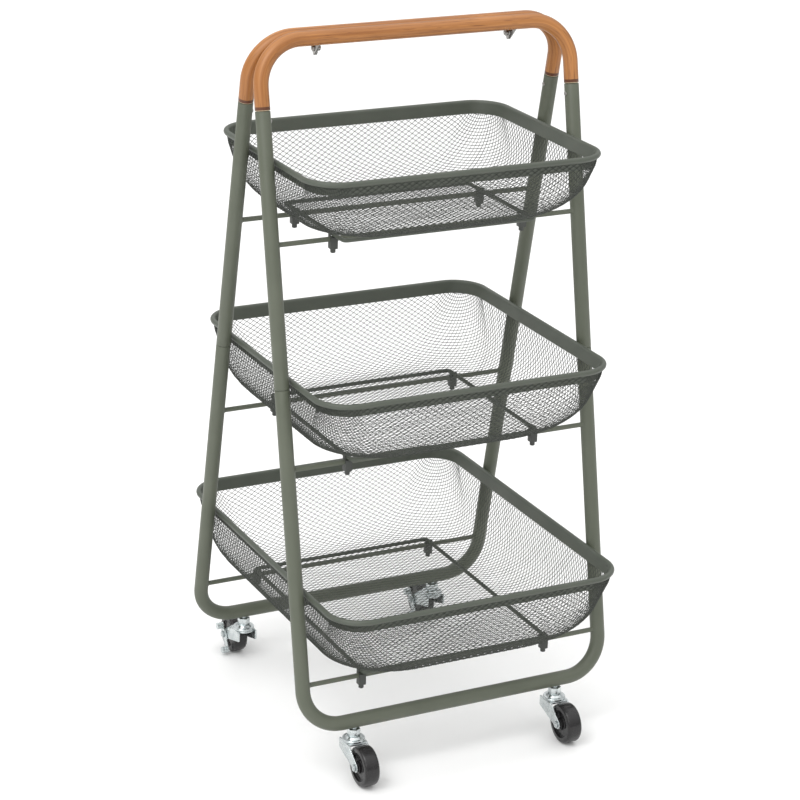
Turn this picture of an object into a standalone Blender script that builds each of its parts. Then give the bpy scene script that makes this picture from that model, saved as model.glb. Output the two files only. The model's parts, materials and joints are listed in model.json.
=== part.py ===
"""Rolling utility cart: a folding frame of two bent-tube legs hinged under their handle bars, three
lift-out wire baskets resting in clips on thin crossbars, and four swivel casters, two with brakes.

Units are metres, +Z is up, +X is the cart's right and -Y is its front. The origin is on the floor,
in the middle of the cart. Run with: blender --background --python part.py
"""

import math

import bmesh
import bpy
from mathutils import Matrix, Vector

# ---------------------------------------------------------------- driving dimensions, in metres

CLEARANCE = 0.0003

# Folding frame: front and back inverted-U tubes that lean apart towards the floor.
TUBE_RADIUS = 0.009
TUBE_WALL = 0.0012
LEG_HALF_SPACING = 0.2045
HANDLE_HEIGHT = 0.875
BASE_HEIGHT = 0.071
BASE_HALF_DEPTH = 0.1695
HANDLE_BEND_RADIUS = 0.052
BASE_BEND_RADIUS = 0.048
HANDLE_SEAM_HEIGHT = 0.798
LEG_JOINT_HEIGHT = 0.4785
SPIGOT_LENGTH = 0.030
SWAGE_LENGTH = 0.004

# Hinge bolts that join the two handle bars.
PIVOT_DROP = 0.014
HINGE_HALF_SPACING = 0.128
LUG_THICKNESS = 0.002
LUG_RADIUS = 0.005
LUG_TIP_DROP = 0.007
LUG_TIP_RADIUS = 0.0015
LUG_ROOT_HALF_WIDTH = 0.0045
LUG_SINK = 0.0022
HINGE_BOLT_RADIUS = 0.002
HINGE_HEAD_RADIUS = 0.004
HINGE_HEAD_THICKNESS = 0.0024
HINGE_NUT_RADIUS = 0.004
HINGE_NUT_THICKNESS = 0.0032
HINGE_BOLT_TAIL = 0.001

# Screws that hold the handles in the upper legs.
SCREW_DROP = 0.012
SCREW_RADIUS = 0.0014
SCREW_LENGTH = 0.006
SCREW_HEAD_RADIUS = 0.0026
SCREW_HEAD_THICKNESS = 0.0012

# Crossbars and the clips on them.
CROSSBAR_RADIUS = 0.003
CROSSBAR_HEIGHTS = {"top": 0.6453, "middle": 0.3836, "bottom": 0.1246}
CLIP_WALL = 0.00185
CLIP_HALF_LENGTH = 0.0045
CLIP_DROP = 0.012
CLIP_FOOT_DROP = 0.017
CLIP_FOOT_RADIUS = 0.0032
CLIP_LIP = 0.0015

# Baskets: a rolled rim, a mesh tray pressed from one sheet, and a wire frame under its floor.
BASKET_SIDE_GAP = 0.0015
BASKET_HALF_DEPTHS = {"top": 0.152, "middle": 0.1925, "bottom": 0.239}
RIM_HEIGHTS = {"top": 0.741, "middle": 0.4887, "bottom": 0.2364}
RIM_CORNER_RADIUS = 0.045
RIM_LIP_RADIUS = 0.0035
RIM_BAND_THICKNESS = 0.0016
RIM_DEPTH = 0.017
TRAY_WALL = 0.0012
TRAY_FILLET_RADIUS = 0.058
TRAY_DRAFT = math.radians(8)
TRAY_CORNER_GROWTH = 0.55
WIRE_RADIUS = 0.0025
WIRE_HALF_WIDTH = 0.1263
WIRE_END_OVERHANGS = {"top": 0.030, "middle": 0.011, "bottom": 0.006}
WIRE_CORNER_RADIUS = 0.005

# Casters: stem and upper race fixed in the base tube, a fork that swivels, a wheel on an axle.
CASTER_HALF_SPACING = 0.140
CASTER_TRAIL = 0.032
STEM_RADIUS = 0.004
STEM_TOP_HEIGHT = 0.077
STEM_NUT_RADIUS = 0.008
STEM_NUT_HEIGHT = 0.011
STEM_NUT_GAP = 0.001
RACE_RADIUS = 0.014
RACE_THICKNESS = 0.0025
RACE_TOP_HEIGHT = 0.0487
RIVET_RADIUS = 0.003
RIVET_HEAD_RADIUS = 0.006
RIVET_HEAD_THICKNESS = 0.0016
CROWN_THICKNESS = 0.0026
CROWN_REACH = 0.013
CHEEK_THICKNESS = 0.002
CHEEK_BACK = 0.009
CHEEK_END_RADIUS = 0.006
WHEEL_RADIUS = 0.025
WHEEL_HALF_WIDTH = 0.0095
HUB_HALF_WIDTH = 0.0104
HUB_RADIUS = 0.0075
WEB_HALF_WIDTH = 0.0065
WEB_RADIUS = 0.0175
TREAD_HALF_WIDTH = 0.006
SHOULDER_DROP = 0.0018
AXLE_RADIUS = 0.0025
AXLE_HEAD_RADIUS = 0.0045
AXLE_HEAD_THICKNESS = 0.0028

# Brake levers: a rocker on the axle line, outside the left cheek of each back caster.
LEVER_THICKNESS = 0.0022
LEVER_HUB_RADIUS = 0.0062
LEVER_PAD_RADIUS = 0.0045
LEVER_PAD_WIDTH = 0.009
LEVER_UPPER_PAD = (0.006, 0.010)
LEVER_LOWER_PAD = (-0.012, -0.0175)

# Facets of the round shapes.
TUBE_SIDES = 12
ROD_SIDES = 10
WHEEL_SIDES = 20
BEND_STEPS = 6
CORNER_STEPS = 5
FILLET_STEPS = 5
ROD_CORNER_STEPS = 3

# ---------------------------------------------------------------- places worked out from them

SIDES = {"front": -1, "back": 1}
HANDS = {"left": -1, "right": 1}
TIERS = ("top", "middle", "bottom")

TUBE_BORE = TUBE_RADIUS - TUBE_WALL
SPIGOT_RADIUS = TUBE_BORE - CLEARANCE
SPIGOT_BORE = SPIGOT_RADIUS - TUBE_WALL
TOP_HALF_DEPTH = TUBE_RADIUS + CLEARANCE / 2
LEAN = (BASE_HALF_DEPTH - TOP_HALF_DEPTH) / (HANDLE_HEIGHT - BASE_HEIGHT)
UPRIGHT = 1 / math.hypot(1, LEAN)
PIVOT = Vector((0, 0, HANDLE_HEIGHT - PIVOT_DROP))

LIP_INSET = 2 * RIM_LIP_RADIUS
DRAFT_SLOPE = math.tan(TRAY_DRAFT)
TRAY_DROP = LIP_INSET + CLEARANCE
BASKET_HALF_WIDTH = LEG_HALF_SPACING - TUBE_RADIUS - BASKET_SIDE_GAP
TRAY_INSET = LIP_INSET - RIM_BAND_THICKNESS - CLEARANCE - TRAY_WALL
WIRE_RISE = CROSSBAR_RADIUS + CLEARANCE + WIRE_RADIUS
TRAY_RISE = WIRE_RISE + WIRE_RADIUS + CLEARANCE

CROWN_TOP_HEIGHT = RACE_TOP_HEIGHT - RACE_THICKNESS - CLEARANCE
CROWN_HEIGHT = CROWN_TOP_HEIGHT - CROWN_THICKNESS
CHEEK_INNER = HUB_HALF_WIDTH + 2 * CLEARANCE
CHEEK_OUTER = CHEEK_INNER + CHEEK_THICKNESS
AXLE_HOLE_RADIUS = AXLE_RADIUS + CLEARANCE
LEVER_INNER = CHEEK_OUTER + CLEARANCE
LEVER_OUTER = LEVER_INNER + LEVER_THICKNESS


def frame_half_depth(height):
    """Distance of either frame's plane from the middle of the cart, at a height."""
    return TOP_HALF_DEPTH + (HANDLE_HEIGHT - height) * LEAN


def frame_point(side, x, height):
    """Point of the front (-1) or back (1) frame's plane."""
    return Vector((x, side * frame_half_depth(height), height))


def frame_normal(side):
    """Unit normal of a frame's plane."""
    return Vector((0, -UPRIGHT, -side * LEAN * UPRIGHT))


# ---------------------------------------------------------------- modelling helpers


def finish_mesh(bm, name):
    """Mesh data from a closed bmesh whose faces agree, turned outwards."""
    if bm.calc_volume(signed=True) < 0:
        bmesh.ops.reverse_faces(bm, faces=bm.faces)
    mesh = bpy.data.meshes.new(name)
    bm.to_mesh(mesh)
    bm.free()
    mesh.shade_smooth()
    mesh.set_sharp_from_angle(angle=math.radians(35))
    return mesh


def loft(name, rings, closed=False):
    """Mesh through rings of equally many points: a closed tube of rings, or capped at both ends."""
    bm = bmesh.new()
    loops = [[bm.verts.new(point) for point in points] for points in rings]
    following = loops[1:] + loops[:1] if closed else loops[1:]
    for loop, next_loop in zip(loops, following):
        for i in range(len(loop)):
            bm.faces.new((loop[i - 1], loop[i], next_loop[i], next_loop[i - 1]))
    if not closed:
        bm.faces.new(loops[0][::-1])
        bm.faces.new(loops[-1])
    return finish_mesh(bm, name)


def ring(centre, across, along, radius, sides, corners=0):
    """Points of a circle, or of a polygon with fewer corners drawn with as many points."""
    points = []
    for i in range(sides):
        angle = math.tau * i / sides
        reach = radius
        if corners:
            half = math.pi / corners
            reach *= math.cos(half) / math.cos(angle % (2 * half) - half)
        points.append(centre + reach * (math.cos(angle) * across + math.sin(angle) * along))
    return points


def turned(name, axis, profile, sides, centre=Vector()):
    """Solid along an axis from (distance, radius, corners) steps, where corners is 0 for round."""
    axis = Vector(axis)
    across = Vector((0, 1, 0)) if axis.x else Vector((1, 0, 0))
    along = axis.cross(across)
    rings = [ring(centre + at * axis, across, along, radius, sides, corners) for at, radius, corners in profile]
    return loft(name, rings)


def hull(name, points):
    """Convex solid around the points."""
    bm = bmesh.new()
    verts = [bm.verts.new(point) for point in points]
    shape = bmesh.ops.convex_hull(bm, input=verts)
    unused = {v for v in shape["geom_interior"] + shape["geom_unused"] if isinstance(v, bmesh.types.BMVert)}
    bmesh.ops.delete(bm, geom=list(unused), context="VERTS")
    bmesh.ops.recalc_face_normals(bm, faces=bm.faces)
    return finish_mesh(bm, name)


def plate(name, circles, x_from, x_to, steps=10):
    """Flat plate across X, the convex outline of circles given as (y, z, radius)."""
    points = []
    for x in (x_from, x_to):
        for y, z, radius in circles:
            points += ring(Vector((x, y, z)), Vector((0, 1, 0)), Vector((0, 0, 1)), radius, steps)
    return hull(name, points)


def block(name, low, high):
    """Box between two corners."""
    return hull(name, [(x, y, z) for x in (low[0], high[0]) for y in (low[1], high[1]) for z in (low[2], high[2])])


def rod(name, start, end, radius, sides=ROD_SIDES):
    """Round solid rod between two points on a line along X, Y or Z."""
    start, end = Vector(start), Vector(end)
    length = (end - start).length
    return turned(name, (end - start) / length, [(0, radius, 0), (length, radius, 0)], sides, start)


def combine(name, mesh, others, operation):
    """Mesh with other meshes cut from it or joined to it."""
    body = bpy.data.objects.new(name, mesh)
    bpy.context.collection.objects.link(body)
    tools = [bpy.data.objects.new(name + "_tool", other) for other in others]
    for tool in tools:
        bpy.context.collection.objects.link(tool)
        modifier = body.modifiers.new("combine", "BOOLEAN")
        modifier.operation = operation
        modifier.solver = "EXACT"
        modifier.object = tool
    graph = bpy.context.evaluated_depsgraph_get()
    result = bpy.data.meshes.new_from_object(body.evaluated_get(graph))
    for helper in [body, *tools]:
        bpy.data.objects.remove(helper)
    result.name = name
    return result


def cut(name, mesh, cutters):
    """Mesh with the cutters taken out."""
    return combine(name, mesh, cutters, "DIFFERENCE")


def join(name, mesh, additions):
    """Mesh with the additions united to it."""
    return combine(name, mesh, additions, "UNION")


def rounded_rectangle(half_width, half_depth, radius, steps=CORNER_STEPS):
    """(point, outward direction) pairs around a rounded rectangle in the XY plane."""
    pairs = []
    for quarter in range(4):
        for step in range(steps + 1):
            angle = math.pi / 2 * (quarter + step / steps)
            out = Vector((math.cos(angle), math.sin(angle), 0))
            sign_x = 1 if quarter in (0, 3) else -1
            sign_y = 1 if quarter in (0, 1) else -1
            centre = Vector((sign_x * (half_width - radius), sign_y * (half_depth - radius), 0))
            pairs.append((centre + radius * out, out))
    return pairs


# ---------------------------------------------------------------- materials and placing


def material(name, colour, roughness, metallic=0.0):
    """Principled material with one colour."""
    made = bpy.data.materials.new(name)
    made.use_nodes = True
    shader = made.node_tree.nodes["Principled BSDF"]
    shader.inputs["Base Color"].default_value = (*colour, 1)
    shader.inputs["Roughness"].default_value = roughness
    shader.inputs["Metallic"].default_value = metallic
    made.diffuse_color = (*colour, 1)
    return made


FINISHES = {
    "frame_paint": ((0.125, 0.145, 0.11), 0.5, 0.0),
    "handle_wood": ((0.46, 0.23, 0.08), 0.45, 0.0),
    "basket_paint": ((0.075, 0.085, 0.07), 0.5, 0.0),
    "clip_plastic": ((0.04, 0.045, 0.04), 0.55, 0.0),
    "zinc": ((0.62, 0.66, 0.66), 0.3, 1.0),
    "fastener_steel": ((0.30, 0.29, 0.28), 0.35, 1.0),
    "wheel_tyre": ((0.012, 0.011, 0.012), 0.35, 0.0),
}


def pivot(name, location, parent=None, turn=0.0):
    """Empty on a joint's axis, which carries the pieces that the joint moves."""
    empty = bpy.data.objects.new(name, None)
    empty.location = location
    empty.rotation_euler.z = turn
    empty.parent = parent
    bpy.context.collection.objects.link(empty)
    return empty


def place(name, mesh, finish, carrier=None, world=True):
    """Node of a mesh given in world coordinates, or in its carrier's own where world is False."""
    if carrier and world:
        mesh.transform(Matrix.Translation(-carrier.location))
    node = bpy.data.objects.new(name, mesh)
    node.parent = carrier
    bpy.context.collection.objects.link(node)
    node.data.materials.clear()
    node.data.materials.append(MATERIALS[finish])
    return node


# ---------------------------------------------------------------- frame


def bend(side, hand, bar_height, radius, upward):
    """(point, direction) pairs of a frame tube's quarter bend, from its leg to its bar."""
    pairs = []
    rise = -1 if upward else 1
    for step in range(BEND_STEPS + 1):
        angle = math.pi / 2 * step / BEND_STEPS
        x = hand * (LEG_HALF_SPACING - radius * (1 - math.cos(angle)))
        along = radius * (1 - math.sin(angle))
        point = frame_point(side, x, bar_height + rise * along * UPRIGHT)
        leg = Vector((0, side * LEAN * UPRIGHT, -UPRIGHT)) * rise
        pairs.append((point, leg * math.cos(angle) + Vector((-hand * math.sin(angle), 0, 0))))
    return pairs


def swept_tube(name, side, outer, inner):
    """Hollow tube in a frame's plane from (point, direction, radius) stations, outer and inner."""
    normal = frame_normal(side)
    rings = [ring(p, normal, d.cross(normal), r, TUBE_SIDES) for p, d, r in outer + inner[::-1]]
    return loft(name, rings, closed=True)


def u_tube(name, side, bar_height, radius, end_height, end_stations):
    """U-shaped tube: its bar, its two bends, and what each leg's end adds to them.

    end_stations gives (distance past the end, outer radius) and (distance, inner radius) lists.
    """
    upward = end_height < bar_height
    down = Vector((0, side * LEAN * UPRIGHT, -UPRIGHT)) * (1 if upward else -1)
    left = bend(side, -1, bar_height, radius, upward)
    right = [(p, -d) for p, d in bend(side, 1, bar_height, radius, upward)][::-1]
    walls = []
    for stations, tube in zip(end_stations, (TUBE_RADIUS, TUBE_BORE)):
        ends = []
        for hand, heading in ((-1, -1), (1, 1)):
            end = frame_point(side, hand * LEG_HALF_SPACING, end_height)
            leg = [(end + past * down, heading * down, r) for past, r in stations]
            ends.append(leg if heading == 1 else leg[::-1])
        middle = [(p, d, tube) for p, d in left + right]
        walls.append(ends[0] + middle + ends[1])
    return swept_tube(name, side, *walls)


def straight_tube(name, side, hand, outer, inner):
    """Leg tube from (height, radius) stations of its outer and inner walls, top to bottom."""
    heading = Vector((0, side * LEAN * UPRIGHT, -UPRIGHT))
    walls = [
        [(frame_point(side, hand * LEG_HALF_SPACING, z), heading, r) for z, r in stations]
        for stations in (outer, inner)
    ]
    return swept_tube(name, side, *walls)


def screw_hole(side, hand):
    """Cutter for a leg screw, through the wall that faces the middle of the cart."""
    height = HANDLE_SEAM_HEIGHT - SCREW_DROP
    inner = frame_point(side, hand * (LEG_HALF_SPACING - 2 * TUBE_RADIUS), height)
    middle = frame_point(side, hand * (LEG_HALF_SPACING - TUBE_RADIUS / 3), height)
    return rod("screw_hole", inner, middle, SCREW_RADIUS + CLEARANCE, 8)


def lug(side, hand):
    """Hinge lug under a handle bar, between the bar and the pivot bolt."""
    near = HINGE_HALF_SPACING - side * CLEARANCE / 2
    far = near - side * LUG_THICKNESS
    root_height = HANDLE_HEIGHT - TUBE_RADIUS + LUG_SINK
    root = side * TOP_HALF_DEPTH
    circles = [
        (root - LUG_ROOT_HALF_WIDTH, root_height, LUG_TIP_RADIUS / 2),
        (root + LUG_ROOT_HALF_WIDTH, root_height, LUG_TIP_RADIUS / 2),
        (0, PIVOT.z, LUG_RADIUS),
        (0, PIVOT.z - LUG_TIP_DROP, LUG_TIP_RADIUS),
    ]
    return plate("lug", circles, hand * near, hand * far)


def build_handle(side, name, carrier):
    """Wood-grained inverted U with a spigot at each end and two hinge lugs under its bar."""
    outer = [(0, TUBE_RADIUS), (0, SPIGOT_RADIUS), (SPIGOT_LENGTH, SPIGOT_RADIUS)]
    inner = [(-2 * SWAGE_LENGTH, TUBE_BORE), (-SWAGE_LENGTH, SPIGOT_BORE), (SPIGOT_LENGTH, SPIGOT_BORE)]
    mesh = u_tube(name, side, HANDLE_HEIGHT, HANDLE_BEND_RADIUS, HANDLE_SEAM_HEIGHT, (outer, inner))
    mesh = join(name, mesh, [lug(side, hand) for hand in HANDS.values()])
    holes = []
    for hand in HANDS.values():
        reach = LUG_THICKNESS + HINGE_HEAD_THICKNESS
        start = (hand * (HINGE_HALF_SPACING - reach), 0, PIVOT.z)
        end = (hand * (HINGE_HALF_SPACING + reach), 0, PIVOT.z)
        holes.append(rod("bolt_hole", start, end, HINGE_BOLT_RADIUS + CLEARANCE))
        holes.append(screw_hole(side, hand))
    place(name, cut(name, mesh, holes), "handle_wood", carrier)


def build_upper_leg(side, hand, name, carrier):
    """Straight leg tube: it takes the handle's spigot above, and its own goes into the base below."""
    top = HANDLE_SEAM_HEIGHT - CLEARANCE
    spigot_end = LEG_JOINT_HEIGHT - SPIGOT_LENGTH * UPRIGHT
    outer = [(top, TUBE_RADIUS), (LEG_JOINT_HEIGHT, TUBE_RADIUS), (LEG_JOINT_HEIGHT, SPIGOT_RADIUS)]
    outer.append((spigot_end, SPIGOT_RADIUS))
    inner = [(top, TUBE_BORE), (LEG_JOINT_HEIGHT + 2 * SWAGE_LENGTH, TUBE_BORE)]
    inner += [(LEG_JOINT_HEIGHT + SWAGE_LENGTH, SPIGOT_BORE), (spigot_end, SPIGOT_BORE)]
    mesh = straight_tube(name, side, hand, outer, inner)
    place(name, cut(name, mesh, [screw_hole(side, hand)]), "frame_paint", carrier)


def build_base(side, name, carrier):
    """U-shaped lower tube: open above for the upper legs, with a hole for each caster stem."""
    end_height = LEG_JOINT_HEIGHT - CLEARANCE
    stations = ([(0, TUBE_RADIUS)], [(0, TUBE_BORE)])
    mesh = u_tube(name, side, BASE_HEIGHT, BASE_BEND_RADIUS, end_height, stations)
    y = side * BASE_HALF_DEPTH
    holes = []
    for hand in HANDS.values():
        x = hand * CASTER_HALF_SPACING
        start = (x, y, BASE_HEIGHT - 2 * TUBE_RADIUS)
        holes.append(rod("stem_hole", start, (x, y, BASE_HEIGHT), STEM_RADIUS + CLEARANCE, TUBE_SIDES))
    place(name, cut(name, mesh, holes), "frame_paint", carrier)


def build_hinge_bolt(hand, name):
    """Bolt through both lugs, its round head outside and its hexagonal nut inside."""
    stack = LUG_THICKNESS + 1.5 * CLEARANCE
    profile = [
        (-stack - HINGE_NUT_THICKNESS - HINGE_BOLT_TAIL, HINGE_BOLT_RADIUS, 0),
        (-stack - HINGE_NUT_THICKNESS, HINGE_BOLT_RADIUS, 0),
        (-stack - HINGE_NUT_THICKNESS, HINGE_NUT_RADIUS, 6),
        (-stack, HINGE_NUT_RADIUS, 6),
        (-stack, HINGE_BOLT_RADIUS, 0),
        (stack, HINGE_BOLT_RADIUS, 0),
        (stack, HINGE_HEAD_RADIUS, 0),
        (stack + HINGE_HEAD_THICKNESS / 2, HINGE_HEAD_RADIUS, 0),
        (stack + HINGE_HEAD_THICKNESS, HINGE_HEAD_RADIUS / 2, 0),
    ]
    centre = Vector((hand * HINGE_HALF_SPACING, 0, PIVOT.z))
    place(name, turned(name, (hand, 0, 0), profile, TUBE_SIDES, centre), "fastener_steel")


def build_leg_screw(side, hand, name, carrier):
    """Small screw through a leg and its handle's spigot, its domed head on the leg's inner side."""
    profile = [
        (-SCREW_LENGTH, SCREW_RADIUS, 0),
        (0, SCREW_RADIUS, 0),
        (0, SCREW_HEAD_RADIUS, 0),
        (SCREW_HEAD_THICKNESS / 2, SCREW_HEAD_RADIUS, 0),
        (SCREW_HEAD_THICKNESS, SCREW_HEAD_RADIUS / 2, 0),
    ]
    seat = hand * (LEG_HALF_SPACING - TUBE_RADIUS - CLEARANCE)
    centre = frame_point(side, seat, HANDLE_SEAM_HEIGHT - SCREW_DROP)
    place(name, turned(name, (-hand, 0, 0), profile, 8, centre), "fastener_steel", carrier)


def build_crossbar(side, tier, name, carrier):
    """Thin rod between the two legs of one frame."""
    half = LEG_HALF_SPACING - TUBE_RADIUS - CLEARANCE
    height = CROSSBAR_HEIGHTS[tier]
    ends = [frame_point(side, x, height) for x in (-half, half)]
    place(name, rod(name, *ends, CROSSBAR_RADIUS), "frame_paint", carrier)


def build_clip(side, hand, tier, name, carrier):
    """Plastic clip: a crossbar runs through it, a basket's side wire drops into its groove, a foot hangs below."""
    centre = frame_point(side, hand * WIRE_HALF_WIDTH, CROSSBAR_HEIGHTS[tier])
    groove = WIRE_RADIUS + CLEARANCE
    floor = CROSSBAR_RADIUS
    top = WIRE_RISE + CLIP_LIP
    half_width = groove + CLIP_WALL
    body = block(
        name,
        centre + Vector((-half_width, -CLIP_HALF_LENGTH, -CLIP_DROP)),
        centre + Vector((half_width, CLIP_HALF_LENGTH, top)),
    )
    past = Vector((2 * half_width, 0, 0))
    bar_hole = rod("bar_hole", centre - past, centre + past, CROSSBAR_RADIUS + CLEARANCE, TUBE_SIDES)
    wire_groove = block(
        "wire_groove",
        centre + Vector((-groove, -2 * CLIP_HALF_LENGTH, floor)),
        centre + Vector((groove, 2 * CLIP_HALF_LENGTH, 2 * top)),
    )
    cutters = [bar_hole, wire_groove]
    end_bar = WIRE_END_OVERHANGS[tier] - max(WIRE_CORNER_RADIUS, WIRE_RADIUS + CLEARANCE)
    if end_bar < CLIP_HALF_LENGTH:
        near, far = sorted((side * end_bar, side * 2 * CLIP_HALF_LENGTH))
        low = centre + Vector((-2 * half_width, near, floor))
        cutters.append(block("end_notch", low, centre + Vector((2 * half_width, far, 2 * top))))
    sole = centre - Vector((0, 0, CLIP_FOOT_DROP))
    foot = rod("foot", sole, centre - Vector((0, 0, (CLIP_DROP + CROSSBAR_RADIUS) / 2)), CLIP_FOOT_RADIUS)
    place(name, join(name, cut(name, body, cutters), [foot]), "clip_plastic", carrier)


# ---------------------------------------------------------------- baskets


def build_rim(tier, name, carrier):
    """Rim of one basket: a rolled lip outside and a flat band that leans in from its inner side."""
    top = RIM_HEIGHTS[tier]
    lip = RIM_LIP_RADIUS
    band_inset = LIP_INSET + (RIM_DEPTH - LIP_INSET) * DRAFT_SLOPE
    section = [(-lip + lip * math.cos(a), -lip + lip * math.sin(a)) for a in map(math.radians, range(0, 181, 30))]
    section += [(-band_inset, -RIM_DEPTH), (RIM_BAND_THICKNESS - band_inset, -RIM_DEPTH)]
    fold = math.acos((LIP_INSET - RIM_BAND_THICKNESS - lip) / lip)
    section.append((-lip - lip * math.cos(fold), -lip - lip * math.sin(fold)))
    section += [(-lip + lip * math.cos(a), -lip - lip * math.sin(a)) for a in map(math.radians, (90, 45))]
    outline = rounded_rectangle(BASKET_HALF_WIDTH, BASKET_HALF_DEPTHS[tier], RIM_CORNER_RADIUS)
    rings = [[point + offset * out + Vector((0, 0, top + rise)) for offset, rise in section] for point, out in outline]
    place(name, loft(name, rings, closed=True), "basket_paint", carrier)


def tray_ring(tier, inset, wall, height):
    """Outline of a tray's outer (wall 0) or inner surface at one height. Its corners widen below the rim."""
    drop = RIM_HEIGHTS[tier] - TRAY_DROP - height
    banded = min(drop, RIM_DEPTH - TRAY_DROP)
    growth = (drop - banded) * TRAY_CORNER_GROWTH - banded * DRAFT_SLOPE
    radius = RIM_CORNER_RADIUS - TRAY_INSET - wall + growth
    outline = rounded_rectangle(BASKET_HALF_WIDTH - inset, BASKET_HALF_DEPTHS[tier] - inset, radius)
    return [point + Vector((0, 0, height)) for point, _ in outline]


def build_tray(tier, name, carrier):
    """Mesh tray as a thin open shell: leaning walls, then one large fillet into a flat floor."""
    floor = CROSSBAR_HEIGHTS[tier] + TRAY_RISE
    top = RIM_HEIGHTS[tier] - TRAY_DROP
    rim_low = RIM_HEIGHTS[tier] - RIM_DEPTH
    centre_height = floor + TRAY_FILLET_RADIUS
    wall_drop = top - centre_height + TRAY_FILLET_RADIUS * math.sin(TRAY_DRAFT)
    centre_inset = TRAY_INSET + wall_drop * DRAFT_SLOPE + TRAY_FILLET_RADIUS * math.cos(TRAY_DRAFT)
    rings = []
    for wall in (0, TRAY_WALL):
        radius = TRAY_FILLET_RADIUS - wall
        levels = []
        for step in range(FILLET_STEPS + 1):
            angle = (math.pi / 2 - TRAY_DRAFT) * step / FILLET_STEPS
            inset = centre_inset - radius * math.sin(angle)
            levels.append(tray_ring(tier, inset, wall, centre_height - radius * math.cos(angle)))
        upright = TRAY_INSET + wall / math.cos(TRAY_DRAFT)
        levels.append(tray_ring(tier, upright + (top - rim_low) * DRAFT_SLOPE, wall, rim_low))
        levels.append(tray_ring(tier, upright, wall, top))
        rings += levels[::-1] if wall else levels
    place(name, loft(name, rings), "basket_paint", carrier)


def build_wire_frame(tier, name, carrier):
    """Closed frame of bent rod under a tray's floor. Its sides drop into the clips."""
    height = CROSSBAR_HEIGHTS[tier]
    half_depth = frame_half_depth(height) + WIRE_END_OVERHANGS[tier]
    outline = rounded_rectangle(WIRE_HALF_WIDTH, half_depth, WIRE_CORNER_RADIUS, ROD_CORNER_STEPS)
    lift = Vector((0, 0, height + WIRE_RISE))
    up = Vector((0, 0, 1))
    rings = [ring(point + lift, out, up, WIRE_RADIUS, ROD_SIDES - 2) for point, out in outline]
    place(name, loft(name, rings, closed=True), "basket_paint", carrier)


# ---------------------------------------------------------------- casters


def stem_mesh():
    """Stem, its nut under the tube and the fixed upper race, riveted over below the fork's crown."""
    nut_top = BASE_HEIGHT - TUBE_RADIUS - STEM_NUT_GAP
    race_low = RACE_TOP_HEIGHT - RACE_THICKNESS
    rivet_top = CROWN_HEIGHT - CLEARANCE
    profile = [
        (STEM_TOP_HEIGHT, STEM_RADIUS, 0),
        (nut_top, STEM_RADIUS, 0),
        (nut_top, STEM_NUT_RADIUS, 6),
        (nut_top - STEM_NUT_HEIGHT, STEM_NUT_RADIUS, 6),
        (RACE_TOP_HEIGHT, RACE_RADIUS, 0),
        (race_low, RACE_RADIUS, 0),
        (race_low, RIVET_RADIUS, 0),
        (rivet_top, RIVET_RADIUS, 0),
        (rivet_top, RIVET_HEAD_RADIUS, 0),
        (rivet_top - RIVET_HEAD_THICKNESS, RIVET_HEAD_RADIUS / 2, 0),
    ]
    return turned("stem", (0, 0, 1), profile, TUBE_SIDES)


def fork_mesh():
    """Pressed fork that trails towards +Y: a round crown on the stem and a cheek each side of the wheel."""
    crown = []
    for height in (CROWN_HEIGHT, CROWN_TOP_HEIGHT):
        crown += ring(Vector((0, 0, height)), Vector((1, 0, 0)), Vector((0, 1, 0)), RACE_RADIUS, 2 * TUBE_SIDES)
        crown += [(x, CROWN_REACH, height) for x in (-CHEEK_OUTER, CHEEK_OUTER)]
    corner = CROWN_THICKNESS / 4
    circles = [
        (-CHEEK_BACK, CROWN_TOP_HEIGHT - 2 * corner, corner),
        (CROWN_REACH, CROWN_TOP_HEIGHT - 2 * corner, corner),
        (CASTER_TRAIL, WHEEL_RADIUS, CHEEK_END_RADIUS),
    ]
    cheeks = [plate("cheek", circles, hand * CHEEK_INNER, hand * CHEEK_OUTER) for hand in HANDS.values()]
    mesh = join("fork", hull("crown", crown), cheeks)
    stem_hole = rod(
        "stem_hole",
        (0, 0, CROWN_HEIGHT - CROWN_THICKNESS),
        (0, 0, RACE_TOP_HEIGHT),
        RIVET_RADIUS + CLEARANCE,
    )
    return cut("fork", mesh, [stem_hole, axle_hole()])


def axle_hole():
    """Cutter along the axle line."""
    ends = [(x, CASTER_TRAIL, WHEEL_RADIUS) for x in (-2 * CHEEK_OUTER, 2 * CHEEK_OUTER)]
    return rod("axle_hole", *ends, AXLE_HOLE_RADIUS)


def axle_mesh(left_seat):
    """Axle bolt across the fork, its round head on the right and its nut on the left seat."""
    right_seat = CHEEK_OUTER + CLEARANCE
    profile = [
        (-left_seat - AXLE_HEAD_THICKNESS, AXLE_HEAD_RADIUS, 6),
        (-left_seat, AXLE_HEAD_RADIUS, 6),
        (-left_seat, AXLE_RADIUS, 0),
        (right_seat, AXLE_RADIUS, 0),
        (right_seat, AXLE_HEAD_RADIUS, 0),
        (right_seat + AXLE_HEAD_THICKNESS, AXLE_HEAD_RADIUS / 2, 0),
    ]
    return turned("axle", (1, 0, 0), profile, TUBE_SIDES, Vector((0, CASTER_TRAIL, WHEEL_RADIUS)))


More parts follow.
